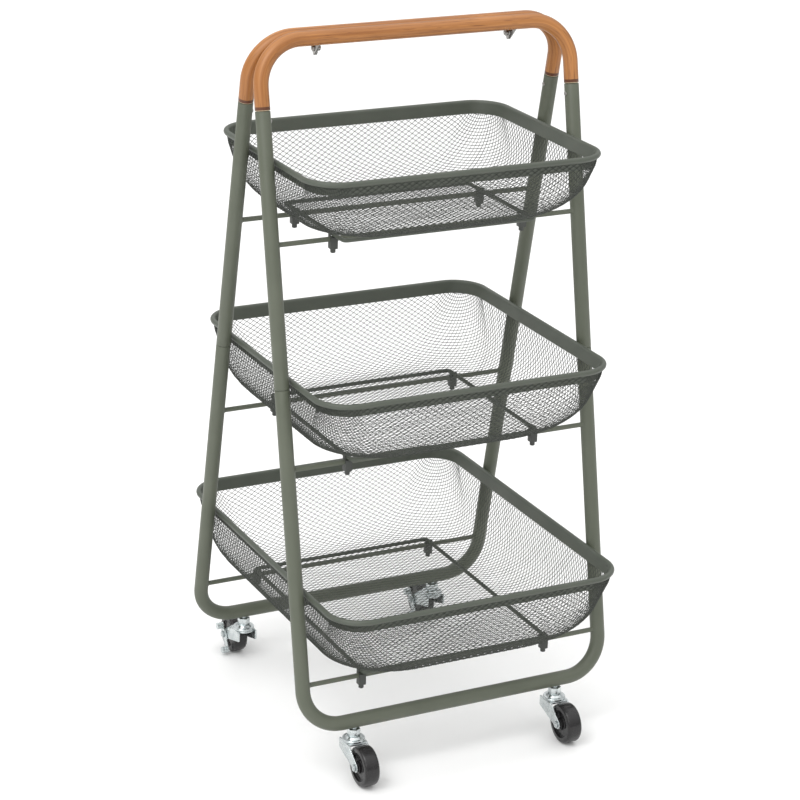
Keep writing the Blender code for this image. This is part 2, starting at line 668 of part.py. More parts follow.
def wheel_mesh():
    """Wheel about its own axle line, flat where it stands on the floor."""
    half_facet = math.pi / WHEEL_SIDES
    tread = WHEEL_RADIUS / math.cos(half_facet)
    half_section = [
        (HUB_HALF_WIDTH, AXLE_HOLE_RADIUS),
        (HUB_HALF_WIDTH, HUB_RADIUS),
        (WEB_HALF_WIDTH, HUB_RADIUS),
        (WEB_HALF_WIDTH, WEB_RADIUS),
        (WHEEL_HALF_WIDTH, WEB_RADIUS),
        (WHEEL_HALF_WIDTH, tread - SHOULDER_DROP),
        (TREAD_HALF_WIDTH, tread),
    ]
    section = half_section + [(-x, r) for x, r in half_section[::-1]]
    rings = []
    for i in range(WHEEL_SIDES):
        angle = math.tau * i / WHEEL_SIDES - math.pi / 2 + half_facet
        out = Vector((0, math.cos(angle), math.sin(angle)))
        rings.append([r * out + Vector((x, 0, 0)) for x, r in section])
    return loft("wheel", rings, closed=True)


def lever_mesh():
    """Brake rocker about the axle line: a flat hub plate outside the left cheek and two foot pads."""
    upper = (*LEVER_UPPER_PAD, LEVER_PAD_RADIUS)
    lower = (*LEVER_LOWER_PAD, LEVER_PAD_RADIUS)
    web = plate("web", [upper, (0, 0, LEVER_HUB_RADIUS), lower], -LEVER_INNER, -LEVER_OUTER, 12)
    pad_start = -LEVER_INNER - LEVER_THICKNESS / 2
    pads = [plate("pad", [pad], pad_start, -LEVER_INNER - LEVER_PAD_WIDTH) for pad in (upper, lower)]
    mesh = join("lever", web, pads)
    hole = rod("axle_hole", (-3 * LEVER_OUTER, 0, 0), (3 * LEVER_OUTER, 0, 0), AXLE_HOLE_RADIUS)
    return cut("lever", mesh, [hole])


def build_casters(fold):
    """Four casters. The front pair trails to the front, and the back pair trails to the back."""
    stem, fork, wheel, lever = stem_mesh(), fork_mesh(), wheel_mesh(), lever_mesh()
    plain_axle = axle_mesh(CHEEK_OUTER + CLEARANCE)
    brake_axle = axle_mesh(LEVER_OUTER + CLEARANCE)
    for side_name, side in SIDES.items():
        for hand_name, hand in HANDS.items():
            name = f"caster_{side_name}_{hand_name}"
            braked = side_name == "back"
            foot = Vector((hand * CASTER_HALF_SPACING, side * BASE_HALF_DEPTH, 0))
            if braked:
                foot -= fold.location
            swivel = pivot(name + "_swivel", foot, fold if braked else None, 0 if braked else math.pi)
            spin = pivot(name + "_spin", (0, CASTER_TRAIL, WHEEL_RADIUS), swivel)
            place(name + "_stem", stem, "zinc", swivel, world=False)
            place(name + "_fork", fork, "zinc", swivel, world=False)
            place(name + "_axle", brake_axle if braked else plain_axle, "fastener_steel", swivel, world=False)
            place(name + "_wheel", wheel, "wheel_tyre", spin, world=False)
            if braked:
                place(name + "_brake_lever", lever, "zinc", spin, world=False)


# ---------------------------------------------------------------- assembly

for old in list(bpy.data.objects):
    bpy.data.objects.remove(old)

MATERIALS = {name: material(name, *values) for name, values in FINISHES.items()}

fold_pivot = pivot("frame_fold_axis", PIVOT)

for side_label, side_sign in SIDES.items():
    frame_carrier = fold_pivot if side_label == "back" else None
    build_handle(side_sign, f"handle_{side_label}", frame_carrier)
    build_base(side_sign, f"base_{side_label}", frame_carrier)
    for hand_label, hand_sign in HANDS.items():
        build_upper_leg(side_sign, hand_sign, f"upper_leg_{side_label}_{hand_label}", frame_carrier)
        build_leg_screw(side_sign, hand_sign, f"leg_screw_{side_label}_{hand_label}", frame_carrier)
    for tier_label in TIERS:
        build_crossbar(side_sign, tier_label, f"crossbar_{side_label}_{tier_label}", frame_carrier)
        for hand_label, hand_sign in HANDS.items():
            clip_name = f"clip_{side_label}_{tier_label}_{hand_label}"
            build_clip(side_sign, hand_sign, tier_label, clip_name, frame_carrier)

for hand_label, hand_sign in HANDS.items():
    build_hinge_bolt(hand_sign, f"hinge_bolt_{hand_label}")

for tier_label in TIERS:
    lift = pivot(f"basket_{tier_label}_lift", (0, 0, CROSSBAR_HEIGHTS[tier_label] + TRAY_RISE))
    build_rim(tier_label, f"basket_{tier_label}_rim", lift)
    build_tray(tier_label, f"basket_{tier_label}_tray", lift)
    build_wire_frame(tier_label, f"basket_{tier_label}_wire_frame", lift)

build_casters(fold_pivot)
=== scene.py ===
"""Looks of the rolling utility cart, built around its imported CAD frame.

Every piece of the cart gets a finely made mesh and a procedural finish here: bent tube, rolled rims,
trays of woven wire, clips and casters. Places come from the frame, and units are metres.
"""

import json
import logging
import math
from collections.abc import Iterable, Sequence
from dataclasses import dataclass, field
from enum import Enum

import bmesh
import bpy
import numpy as np
from bmesh.types import BMEdge, BMesh, BMVert
from mathutils import Matrix, Vector


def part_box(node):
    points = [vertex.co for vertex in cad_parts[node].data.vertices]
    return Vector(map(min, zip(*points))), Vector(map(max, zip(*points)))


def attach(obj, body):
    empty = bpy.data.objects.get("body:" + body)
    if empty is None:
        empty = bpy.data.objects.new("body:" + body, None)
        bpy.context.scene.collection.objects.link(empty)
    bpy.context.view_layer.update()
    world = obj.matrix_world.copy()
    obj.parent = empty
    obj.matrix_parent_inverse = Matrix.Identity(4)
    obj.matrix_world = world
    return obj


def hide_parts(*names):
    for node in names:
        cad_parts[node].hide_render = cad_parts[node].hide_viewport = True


log = logging.getLogger("cart")

X_AXIS = Vector((1, 0, 0))
Y_AXIS = Vector((0, 1, 0))
Z_AXIS = Vector((0, 0, 1))
SMOOTH_ANGLE = math.radians(32)
MERGE_DISTANCE = 1e-6


class Side(Enum):
    """Front and back of the cart, as the sign of Y."""

    FRONT = -1
    BACK = 1

    @property
    def label(self) -> str:
        """Name that nodes and bodies use."""
        return self.name.lower()


class Hand(Enum):
    """Left and right of the cart, as the sign of X."""

    LEFT = -1
    RIGHT = 1

    @property
    def label(self) -> str:
        """Name that nodes and bodies use."""
        return self.name.lower()


class Tier(Enum):
    """The three baskets."""

    TOP = "top"
    MIDDLE = "middle"
    BOTTOM = "bottom"


# ---------------------------------------------------------------- shader node groups


class NodeBuilder:
    """Adds and links the nodes of one node tree."""

    def __init__(self, tree: bpy.types.NodeTree) -> None:
        """Args:
        tree: the material's or the group's node tree.
        """
        self.tree = tree

    def add(self, kind: str, inputs: dict | None = None, **settings: object) -> bpy.types.Node:
        """A new node.

        Args:
            kind: the node's bl_idname.
            inputs: socket values or sockets to link, by socket name or number.
            settings: the node's own properties.

        Returns:
            The node.
        """
        node = self.tree.nodes.new(kind)
        for name, value in settings.items():
            setattr(node, name, value)
        for name, value in (inputs or {}).items():
            if isinstance(value, bpy.types.NodeSocket):
                self.tree.links.new(value, node.inputs[name])
            else:
                node.inputs[name].default_value = value
        return node

    def noise(self, vector: bpy.types.NodeSocket, scale: float, detail: float = 2.0) -> bpy.types.NodeSocket:
        """Noise value from 0 to 1 at a scale per metre."""
        return self.add("ShaderNodeTexNoise", {"Vector": vector, "Scale": scale, "Detail": detail}).outputs["Fac"]

    def scaled(self, vector: bpy.types.NodeSocket, scale: Sequence[float]) -> bpy.types.NodeSocket:
        """The vector stretched by a factor on each axis."""
        return self.add("ShaderNodeMapping", {"Vector": vector, "Scale": scale}).outputs["Vector"]

    def spread(
        self, value: bpy.types.NodeSocket, low: float, high: float, to_low: float, to_high: float
    ) -> bpy.types.NodeSocket:
        """The value moved from one range to another, and kept inside it."""
        node = self.add("ShaderNodeMapRange", {0: value, 1: low, 2: high, 3: to_low, 4: to_high})
        return node.outputs["Result"]

    def mix(
        self, factor: bpy.types.NodeSocket, first: object, second: object, blend: str = "MIX"
    ) -> bpy.types.NodeSocket:
        """Mix of two colours by a factor."""
        node = self.add("ShaderNodeMix", {0: factor, 6: first, 7: second}, data_type="RGBA", blend_type=blend)
        return node.outputs[2]

    def math(self, operation: str, first: object, second: object = 0.0) -> bpy.types.NodeSocket:
        """One sum of two values."""
        return self.add("ShaderNodeMath", {0: first, 1: second}, operation=operation).outputs[0]


def new_group(name: str, inputs: dict[str, str], outputs: dict[str, str]) -> tuple[NodeBuilder, object, object]:
    """Empty shader node group with named sockets.

    Args:
        name: the group's name.
        inputs: socket types by name.
        outputs: socket types by name.

    Returns:
        The group's builder, its input node and its output node.
    """
    tree = bpy.data.node_groups.new(name, "ShaderNodeTree")
    for label, kind in inputs.items():
        tree.interface.new_socket(label, in_out="INPUT", socket_type=kind)
    for label, kind in outputs.items():
        tree.interface.new_socket(label, in_out="OUTPUT", socket_type=kind)
    builder = NodeBuilder(tree)
    return builder, builder.add("NodeGroupInput"), builder.add("NodeGroupOutput")


def surface_grain_group() -> bpy.types.NodeTree:
    """Fine surface texture for painted, moulded and plated pieces.

    Returns:
        Group with a slow mottle from 0 to 1 and a fine height from 0 to 1.
    """
    builder, source, result = new_group(
        "surface_grain",
        {"Vector": "NodeSocketVector", "Grain Scale": "NodeSocketFloat", "Mottle Scale": "NodeSocketFloat"},
        {"Mottle": "NodeSocketFloat", "Height": "NodeSocketFloat"},
    )
    fine = builder.add(
        "ShaderNodeTexNoise",
        {"Vector": source.outputs["Vector"], "Scale": source.outputs["Grain Scale"], "Detail": 2.0},
    )
    slow = builder.add(
        "ShaderNodeTexNoise",
        {"Vector": source.outputs["Vector"], "Scale": source.outputs["Mottle Scale"], "Detail": 3.0},
    )
    links = builder.tree.links
    links.new(builder.spread(slow.outputs["Fac"], 0.3, 0.7, 0.0, 1.0), result.inputs["Mottle"])
    links.new(fine.outputs["Fac"], result.inputs["Height"])
    return builder.tree


def wood_grain_group() -> bpy.types.NodeTree:
    """Wood grain that runs along a tube's length.

    Returns:
        Group from the tube's own coordinates to a grain value, a pore value and a slow tone.
    """
    builder, source, result = new_group(
        "wood_grain",
        {"Vector": "NodeSocketVector"},
        {"Grain": "NodeSocketFloat", "Pores": "NodeSocketFloat", "Tone": "NodeSocketFloat"},
    )
    vector = source.outputs["Vector"]
    warp = builder.noise(builder.scaled(vector, (60, 60, 9)), 1.0, 2.0)
    bent = builder.add(
        "ShaderNodeVectorMath",
        {0: vector, 1: builder.add("ShaderNodeCombineXYZ", {"X": builder.math("MULTIPLY", warp, 0.006)}).outputs[0]},
        operation="ADD",
    ).outputs[0]
    grain = builder.noise(builder.scaled(bent, (330, 330, 7)), 1.0, 4.0)
    pores = builder.noise(builder.scaled(bent, (900, 900, 38)), 1.0, 2.0)
    tone = builder.noise(builder.scaled(vector, (70, 70, 12)), 1.0, 1.0)
    links = builder.tree.links
    links.new(builder.spread(grain, 0.35, 0.68, 0.0, 1.0), result.inputs["Grain"])
    links.new(builder.spread(pores, 0.60, 0.70, 0.0, 1.0), result.inputs["Pores"])
    links.new(builder.spread(tone, 0.3, 0.7, 0.0, 1.0), result.inputs["Tone"])
    return builder.tree


# ---------------------------------------------------------------- finishes


@dataclass(frozen=True)
class GrainFinish:
    """Painted, plated or moulded finish: one colour with mottle, grain and uneven gloss."""

    name: str
    colour: tuple[float, float, float]
    shade: tuple[float, float, float]
    roughness: tuple[float, float]
    metallic: float = 0.0
    grain_scale: float = 1400.0
    grain_height: float = 0.00004
    mottle_scale: float = 22.0
    specular: float = 0.5
    coat: float = 0.0

    def material(self, groups: dict[str, bpy.types.NodeTree]) -> bpy.types.Material:
        """The finish as a material.

        Args:
            groups: the shared node groups by name.

        Returns:
            The new material.
        """
        made = bpy.data.materials.new(self.name)
        made.use_nodes = True
        shader = made.node_tree.nodes["Principled BSDF"]
        builder = NodeBuilder(made.node_tree)
        place = builder.add("ShaderNodeTexCoord").outputs["Object"]
        sockets = {"Vector": place, "Grain Scale": self.grain_scale, "Mottle Scale": self.mottle_scale}
        grain = made.node_tree.nodes.new("ShaderNodeGroup")
        grain.node_tree = groups["surface_grain"]
        for name, value in sockets.items():
            if isinstance(value, bpy.types.NodeSocket):
                made.node_tree.links.new(value, grain.inputs[name])
            else:
                grain.inputs[name].default_value = value
        mottle = grain.outputs["Mottle"]
        colour = builder.mix(mottle, (*self.colour, 1), (*self.shade, 1))
        bump = builder.add("ShaderNodeBump", {"Height": grain.outputs["Height"], "Distance": self.grain_height})
        links = made.node_tree.links
        links.new(colour, shader.inputs["Base Color"])
        links.new(builder.spread(mottle, 0.0, 1.0, *self.roughness), shader.inputs["Roughness"])
        links.new(bump.outputs["Normal"], shader.inputs["Normal"])
        shader.inputs["Metallic"].default_value = self.metallic
        shader.inputs["Specular IOR Level"].default_value = self.specular
        shader.inputs["Coat Weight"].default_value = self.coat
        return made


@dataclass(frozen=True)
class WoodFilmFinish:
    """Wood-grain film on the handle tubes, with a dark ring and a pale line at each lower end."""

    name: str = "handle_wood_film"
    light: tuple[float, float, float] = (0.50, 0.215, 0.062)
    deep: tuple[float, float, float] = (0.27, 0.098, 0.022)
    pore: tuple[float, float, float] = (0.14, 0.045, 0.011)
    ring: tuple[float, float, float] = (0.10, 0.028, 0.006)
    line: tuple[float, float, float] = (0.50, 0.40, 0.26)
    ring_width: float = 0.0046
    line_width: float = 0.0008
    roughness: tuple[float, float] = (0.34, 0.48)

    def material(self, groups: dict[str, bpy.types.NodeTree]) -> bpy.types.Material:
        """The finish as a material.

        Args:
            groups: the shared node groups by name.

        Returns:
            The new material.
        """
        made = bpy.data.materials.new(self.name)
        made.use_nodes = True
        tree = made.node_tree
        shader = tree.nodes["Principled BSDF"]
        builder = NodeBuilder(tree)
        place = builder.add("ShaderNodeAttribute", attribute_name="tube_place").outputs["Vector"]
        from_end = builder.add("ShaderNodeAttribute", attribute_name="end_distance").outputs["Fac"]
        wood = tree.nodes.new("ShaderNodeGroup")
        wood.node_tree = groups["wood_grain"]
        tree.links.new(place, wood.inputs["Vector"])
        body = builder.mix(wood.outputs["Grain"], (*self.deep, 1), (*self.light, 1))
        toned = builder.mix(builder.math("MULTIPLY", wood.outputs["Tone"], 0.45), body, (*self.deep, 1))
        pored = builder.mix(builder.math("MULTIPLY", wood.outputs["Pores"], 0.7), toned, (*self.pore, 1))
        in_ring = builder.math("LESS_THAN", from_end, self.ring_width)
        in_line = builder.math("LESS_THAN", from_end, self.line_width)
        ringed = builder.mix(in_ring, pored, (*self.ring, 1))
        finished = builder.mix(in_line, ringed, (*self.line, 1))
        bump = builder.add("ShaderNodeBump", {"Height": wood.outputs["Grain"], "Distance": 0.00005})
        tree.links.new(finished, shader.inputs["Base Color"])
        rough = builder.spread(wood.outputs["Grain"], 0.0, 1.0, *self.roughness)
        tree.links.new(rough, shader.inputs["Roughness"])
        tree.links.new(bump.outputs["Normal"], shader.inputs["Normal"])
        return made


FINISHES = {
    "frame_paint": GrainFinish("frame_paint", (0.103, 0.114, 0.083), (0.092, 0.103, 0.074), (0.42, 0.50)),
    "basket_paint": GrainFinish("basket_paint", (0.078, 0.088, 0.069), (0.068, 0.078, 0.061), (0.42, 0.50)),
    "basket_mesh": GrainFinish(
        "basket_mesh", (0.040, 0.045, 0.036), (0.032, 0.037, 0.030), (0.45, 0.55), mottle_scale=90.0
    ),
    "clip_plastic": GrainFinish(
        "clip_plastic", (0.052, 0.056, 0.050), (0.045, 0.048, 0.043), (0.48, 0.58), grain_scale=2600.0
    ),
    "zinc": GrainFinish(
        "zinc",
        (0.66, 0.70, 0.70),
        (0.52, 0.56, 0.57),
        (0.20, 0.34),
        metallic=1.0,
        grain_scale=900.0,
        grain_height=0.00002,
        mottle_scale=160.0,
    ),
    "fastener_steel": GrainFinish(
        "fastener_steel",
        (0.42, 0.41, 0.39),
        (0.30, 0.29, 0.28),
        (0.26, 0.40),
        metallic=1.0,
        grain_height=0.00002,
        mottle_scale=220.0,
    ),
    "wheel_tyre": GrainFinish(
        "wheel_tyre",
        (0.010, 0.0095, 0.0100),
        (0.014, 0.0130, 0.0135),
        (0.20, 0.30),
        grain_scale=1800.0,
        grain_height=0.00003,
        mottle_scale=120.0,
    ),
    "handle_wood": WoodFilmFinish(),
}


# How far along a hinge bolt the two lugs meet, as a share of its length from the head.
HINGE_SHARE = 0.4213


# ---------------------------------------------------------------- mesh tools


def station(centre: Vector, across: Vector, along: Vector, scale: float = 1.0) -> Matrix:
    """Frame of one cross-section: its centre and its two axes, scaled."""
    facing = across.cross(along)
    rows = [across * scale, along * scale, facing]
    matrix = Matrix([row.to_4d() for row in rows] + [centre.to_4d()]).transposed()
    for column in range(3):
        matrix[3][column] = 0.0
    return matrix


def verts_of(geometry: Iterable[object]) -> list[BMVert]:
    """The vertices among an operator's results."""
    return [item for item in geometry if isinstance(item, BMVert)]


def edges_of(geometry: Iterable[object]) -> list[BMEdge]:
    """The edges among an operator's results."""
    return [item for item in geometry if isinstance(item, BMEdge)]


def sweep(
    section: Sequence[tuple[float, float]], stations: Sequence[Matrix], closed: bool = False, coords: bool = False
) -> BMesh:
    """Closed section carried through a row of stations.

    Args:
        section: points of the section in its own plane.
        stations: the section's frame at each place.
        closed: whether the last station meets the first one.
        coords: whether to keep the unrolled tube's coordinates and the distance from its ends.

    Returns:
        The swept bmesh, capped unless it is closed.
    """
    bm = bmesh.new()
    place = bm.verts.layers.float_vector.new("tube_place") if coords else None
    ends = bm.verts.layers.float.new("end_distance") if coords else None
    ring = [bm.verts.new(stations[0] @ Vector((a, b, 0))) for a, b in section]
    edges = [bm.edges.new((vert, ring[i - 1])) for i, vert in enumerate(ring)]
    first = list(edges)
    steps = [(b.translation - a.translation).length for a, b in zip(stations, stations[1:])]
    travelled = np.concatenate([[0.0], np.cumsum(steps)])
    rings = [ring]
    following = list(stations[1:]) + ([stations[0]] if closed else [])
    before = stations[0]
    for after in following:
        result = bmesh.ops.extrude_edge_only(bm, edges=edges)
        moved = verts_of(result["geom"])
        edges = [edge for edge in edges_of(result["geom"]) if all(vert in moved for vert in edge.verts)]
        bmesh.ops.transform(bm, matrix=after @ before.inverted(), verts=moved)
        rings.append(moved)
        before = after
    if coords:
        for frame, distance, verts in zip(stations, travelled, rings):
            inverse = frame.inverted()
            scale = frame.col[0].to_3d().length
            for vert in verts:
                local = inverse @ vert.co
                vert[place] = Vector((local.x * scale, local.y * scale, distance))
                vert[ends] = min(distance, travelled[-1] - distance)
    if closed:
        bmesh.ops.remove_doubles(bm, verts=bm.verts, dist=MERGE_DISTANCE)
    else:
        bmesh.ops.contextual_create(bm, geom=first)
        bmesh.ops.contextual_create(bm, geom=edges)
    bmesh.ops.recalc_face_normals(bm, faces=bm.faces)
    return bm


def circle(sides: int, radius: float = 1.0) -> list[tuple[float, float]]:
    """Points of a circle."""
    return [(radius * math.cos(math.tau * i / sides), radius * math.sin(math.tau * i / sides)) for i in range(sides)]


def turned(
    profile: Sequence[tuple[float, float]], axis: Vector, centre: Vector, steps: int = 32, ring: bool = False
) -> BMesh:
    """Solid of revolution.

    Args:
        profile: (distance along the axis, radius) points.
        axis: direction of the axis.
        centre: point on the axis that distances start from.
        steps: facets around.
        ring: whether the profile is a closed loop around a bore.

    Returns:
        The turned bmesh.
    """
    bm = bmesh.new()
    out = Y_AXIS if abs(axis.x) > 0.5 else X_AXIS
    verts = [bm.verts.new(centre + axis * at + out * radius) for at, radius in profile]
    pairs = list(zip(verts, verts[1:])) + ([(verts[-1], verts[0])] if ring else [])
    edges = [bm.edges.new(pair) for pair in pairs]
    bmesh.ops.spin(
        bm,
        geom=verts + edges,
        cent=centre,
        axis=axis,
        angle=math.tau,
        steps=steps,
        use_merge=True,
        use_duplicate=False,
    )
    bmesh.ops.remove_doubles(bm, verts=bm.verts, dist=MERGE_DISTANCE)
    bmesh.ops.recalc_face_normals(bm, faces=bm.faces)
    return bm


def soften(bm: BMesh, width: float, segments: int = 2, angle: float = math.radians(35)) -> BMesh:
    """Rounds the edges that are sharper than an angle, in place."""
    sharp = [edge for edge in bm.edges if len(edge.link_faces) == 2 and edge.calc_face_angle() > angle]
    bmesh.ops.bevel(
        bm, geom=sharp, offset=width, affect="EDGES", segments=segments, profile=0.5, material=-1, clamp_overlap=True
    )
    return bm


def hull(points: Iterable[Vector]) -> BMesh:
    """Convex solid around the points."""
    bm = bmesh.new()
    verts = [bm.verts.new(point) for point in points]
    shape = bmesh.ops.convex_hull(bm, input=verts)
    unused = set(verts_of(shape["geom_interior"])) | set(verts_of(shape["geom_unused"]))
    bmesh.ops.delete(bm, geom=list(unused), context="VERTS")
    flat = math.radians(1)
    bmesh.ops.dissolve_limit(bm, angle_limit=flat, verts=bm.verts, edges=bm.edges)
    bmesh.ops.recalc_face_normals(bm, faces=bm.faces)
    return bm


def plate(circles: Sequence[tuple[float, float, float]], x_from: float, x_to: float, sides: int = 24) -> BMesh:
    """Flat plate across X: the convex outline of circles given as (y, z, radius)."""
    points = []
    for x in (x_from, x_to):
        for y, z, radius in circles:
            points += [Vector((x, y + a, z + b)) for a, b in circle(sides, radius)]
    return hull(points)


def block(low: Vector, high: Vector) -> BMesh:
    """Box between two corners."""
    bm = bmesh.new()
    middle, size = (low + high) / 2, high - low
    matrix = Matrix.Translation(middle) @ Matrix.Diagonal((*size, 1))
    bmesh.ops.create_cube(bm, size=1, matrix=matrix)
    return bm


def prism(corners: int, radius: float, low: float, high: float, axis: Vector, centre: Vector) -> BMesh:
    """Hexagonal or other regular prism along an axis, such as a nut."""
    bm = bmesh.new()
    turn = Z_AXIS.rotation_difference(axis).to_matrix().to_4x4()
    matrix = Matrix.Translation(centre + axis * (low + high) / 2) @ turn
    bmesh.ops.create_cone(
        bm, cap_ends=True, segments=corners, radius1=radius, radius2=radius, depth=high - low, matrix=matrix
    )
    return bm


def merged(parts: Iterable[BMesh]) -> BMesh:
    """The bmeshes in one, each kept as its own shell."""
    whole = bmesh.new()
    for part in parts:
        mesh = bpy.data.meshes.new("part")
        part.to_mesh(mesh)
        part.free()
        whole.from_mesh(mesh)
        bpy.data.meshes.remove(mesh)
    return whole


def rounded_rectangle(half_x: float, half_y: float, radius: float, height: float, steps: int) -> list[Matrix]:
    """Stations around a rounded rectangle: the section's first axis points outwards, its second up."""
    stations = []
    for quarter in range(4):
        sign_x = 1 if quarter in (0, 3) else -1
        sign_y = 1 if quarter in (0, 1) else -1
        centre = Vector((sign_x * (half_x - radius), sign_y * (half_y - radius), height))
        for step in range(steps + 1):
            angle = math.pi / 2 * (quarter + step / steps)
            out = Vector((math.cos(angle), math.sin(angle), 0))
            stations.append(station(centre + radius * out, out, Z_AXIS))
    return stations


# ---------------------------------------------------------------- the cart


@dataclass
class Workshop:
    """Puts finished pieces into the scene with their finish, body and CAD nodes."""

    materials: dict[str, bpy.types.Material]

    def deliver(self, name: str, bm: BMesh, finish: str, body: str, nodes: Sequence[str] = ()) -> bpy.types.Object:
        """Makes an object of a bmesh.

        Args:
            name: the piece's name.
            bm: its shape, freed afterwards.
            finish: the name of its finish.
            body: the CAD body that it rides on.
            nodes: the CAD nodes that it stands for.

        Returns:
            The new object.
        """
        mesh = bpy.data.meshes.new(name)
        bm.to_mesh(mesh)
        bm.free()
        mesh.shade_smooth()
        mesh.set_sharp_from_angle(angle=SMOOTH_ANGLE)
        return self.deliver_mesh(name, mesh, finish, body, nodes)

    def deliver_mesh(
        self, name: str, mesh: bpy.types.Mesh, finish: str, body: str, nodes: Sequence[str] = ()
    ) -> bpy.types.Object:
        """Makes an object of a finished mesh. Its arguments are those of deliver."""
        mesh.materials.clear()
        mesh.materials.append(self.materials[finish])
        piece = bpy.data.objects.new(name, mesh)
        bpy.context.collection.objects.link(piece)
        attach(piece, body)
        if nodes:
            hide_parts(*nodes)
        log.info("%s: %d faces", name, len(mesh.polygons))
        return piece


@dataclass
class FoldingFrame:
    """Front and back frames of bent tube, their hinge lugs, bolts, screws, crossbars and clips."""

    shop: Workshop
    handle_bend: float = 0.052
    base_bend: float = 0.048
    bend_steps: int = 20
    tube_sides: int = 40
    rod_sides: int = 20
    edge_round: float = 0.0006
    seam_gap: float = 0.0003
    spigot_inset: float = 0.0015
    lug_thickness: float = 0.002
    lug_radius: float = 0.005
    lug_tip_drop: float = 0.007
    lug_tip_radius: float = 0.0015
    clip_wall: float = 0.00185
    clip_half_length: float = 0.0045
    clip_below: float = 0.012
    clip_above: float = 0.0026
    clip_round: float = 0.0007
    tube: float = field(init=False)
    leg_x: float = field(init=False)
    lean: float = field(init=False)
    upright: float = field(init=False)
    bar_y: float = field(init=False)

    def __post_init__(self) -> None:
        """Works the frame's line out from its crossbars, legs and handle."""
        low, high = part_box("upper_leg_front_right")
        self.tube = (high.x - low.x) / 2
        self.leg_x = (high.x + low.x) / 2
        upper = self.middle("crossbar_back_top")
        lower = self.middle("crossbar_back_bottom")
        self.lean = (lower.y - upper.y) / (upper.z - lower.z)
        self.upright = 1 / math.hypot(1, self.lean)
        self.bar_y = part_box("handle_back")[0].y
        self.plumb = upper
        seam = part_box("upper_leg_back_right")[1].z
        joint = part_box("base_back")[1].z
        tilt = self.tube * self.lean * self.upright
        self.seam_height = seam - tilt + self.seam_gap
        self.joint_height = joint - tilt + self.seam_gap
        hinge = next(j for j in FRAME["joints"] if j["name"] == "frame_fold")
        self.pivot = Vector(hinge["pos_m"])
        swivel = next(j for j in FRAME["joints"] if j["name"] == "caster_back_right_swivel")
        self.base_height = self.height_at(swivel["pos_m"][1])
        self.handle_height = self.height_at(self.tube + self.seam_gap / 2)

    @staticmethod
    def middle(node: str) -> Vector:
        """Middle of a CAD node's box."""
        low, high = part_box(node)
        return (low + high) / 2

    def height_at(self, half_depth: float) -> float:
        """Height at which a frame is that far from the middle of the cart."""
        return self.plumb.z - (half_depth - self.plumb.y) / self.lean

    def half_depth(self, height: float) -> float:
        """Distance of a frame from the middle of the cart at a height."""
        return self.plumb.y + (self.plumb.z - height) * self.lean

    def point(self, side: Side, x: float, height: float) -> Vector:
        """Point in a frame's plane."""
        return Vector((x, side.value * self.half_depth(height), height))

    def normal(self, side: Side) -> Vector:
        """Unit normal of a frame's plane."""
        return Vector((0, -self.upright, -side.value * self.lean * self.upright))

    def tube_station(self, side: Side, point: Vector, heading: Vector, radius: float) -> Matrix:
        """Cross-section of a tube in a frame's plane."""
        normal = self.normal(side)
        return station(point, normal, heading.cross(normal), radius)

    def bend(self, side: Side, hand: Hand, bar_height: float, radius: float, upward: bool) -> list[tuple]:
        """(point, heading) pairs of a quarter bend, from the leg to the bar."""
        pairs = []
        rise = -1 if upward else 1
        for step in range(self.bend_steps + 1):
            angle = math.pi / 2 * step / self.bend_steps
            x = hand.value * (self.leg_x - radius * (1 - math.cos(angle)))
            drop = radius * (1 - math.sin(angle)) * self.upright
            leg = Vector((0, side.value * self.lean, -1)) * self.upright * rise
            heading = leg * math.cos(angle) - X_AXIS * hand.value * math.sin(angle)
            pairs.append((self.point(side, x, bar_height + rise * drop), heading))
        return pairs

    def end_rings(self) -> list[tuple[float, float]]:
        """(distance into the tube, radius) of a rounded tube end over its spigot."""
        edge = self.edge_round
        return [
            (0.0, self.tube - self.spigot_inset),
            (0.0, self.tube - edge),
            (edge * 0.3, self.tube - edge * 0.3),
            (edge, self.tube),
        ]

    def bent_tube(self, side: Side, bar_height: float, radius: float, end_height: float) -> BMesh:
        """U of tube: a bar, two bends and two legs that end at one height."""
        upward = end_height < bar_height
        down = Vector((0, side.value * self.lean, -1)) * self.upright * (1 if upward else -1)
        stations = []
        left = self.bend(side, Hand.LEFT, bar_height, radius, upward)
        right = [(p, -h) for p, h in self.bend(side, Hand.RIGHT, bar_height, radius, upward)][::-1]
        for inset, width in self.end_rings():
            point = self.point(side, -self.leg_x, end_height) - down * inset
            stations.append(self.tube_station(side, point, -down, width))
        straight = self.along(stations[-1].translation, left[0][0])
        stations += [self.tube_station(side, p, -down, self.tube) for p in straight]
        stations += [self.tube_station(side, p, h, self.tube) for p, h in left]
        stations += [self.tube_station(side, p, X_AXIS, self.tube) for p in self.along(left[-1][0], right[0][0])]
        stations += [self.tube_station(side, p, h, self.tube) for p, h in right]
        last = self.point(side, self.leg_x, end_height) - down * self.edge_round
        stations += [self.tube_station(side, p, down, self.tube) for p in self.along(right[-1][0], last)]
        for inset, width in self.end_rings()[::-1]:
            point = self.point(side, self.leg_x, end_height) - down * inset
            stations.append(self.tube_station(side, point, down, width))
        return sweep(circle(self.tube_sides), stations, coords=True)

    @staticmethod
    def along(start: Vector, end: Vector, spacing: float = 0.03) -> list[Vector]:
        """Points between two ends, without the ends."""
        count = max(1, round((end - start).length / spacing))
        return [start.lerp(end, i / count) for i in range(1, count)]

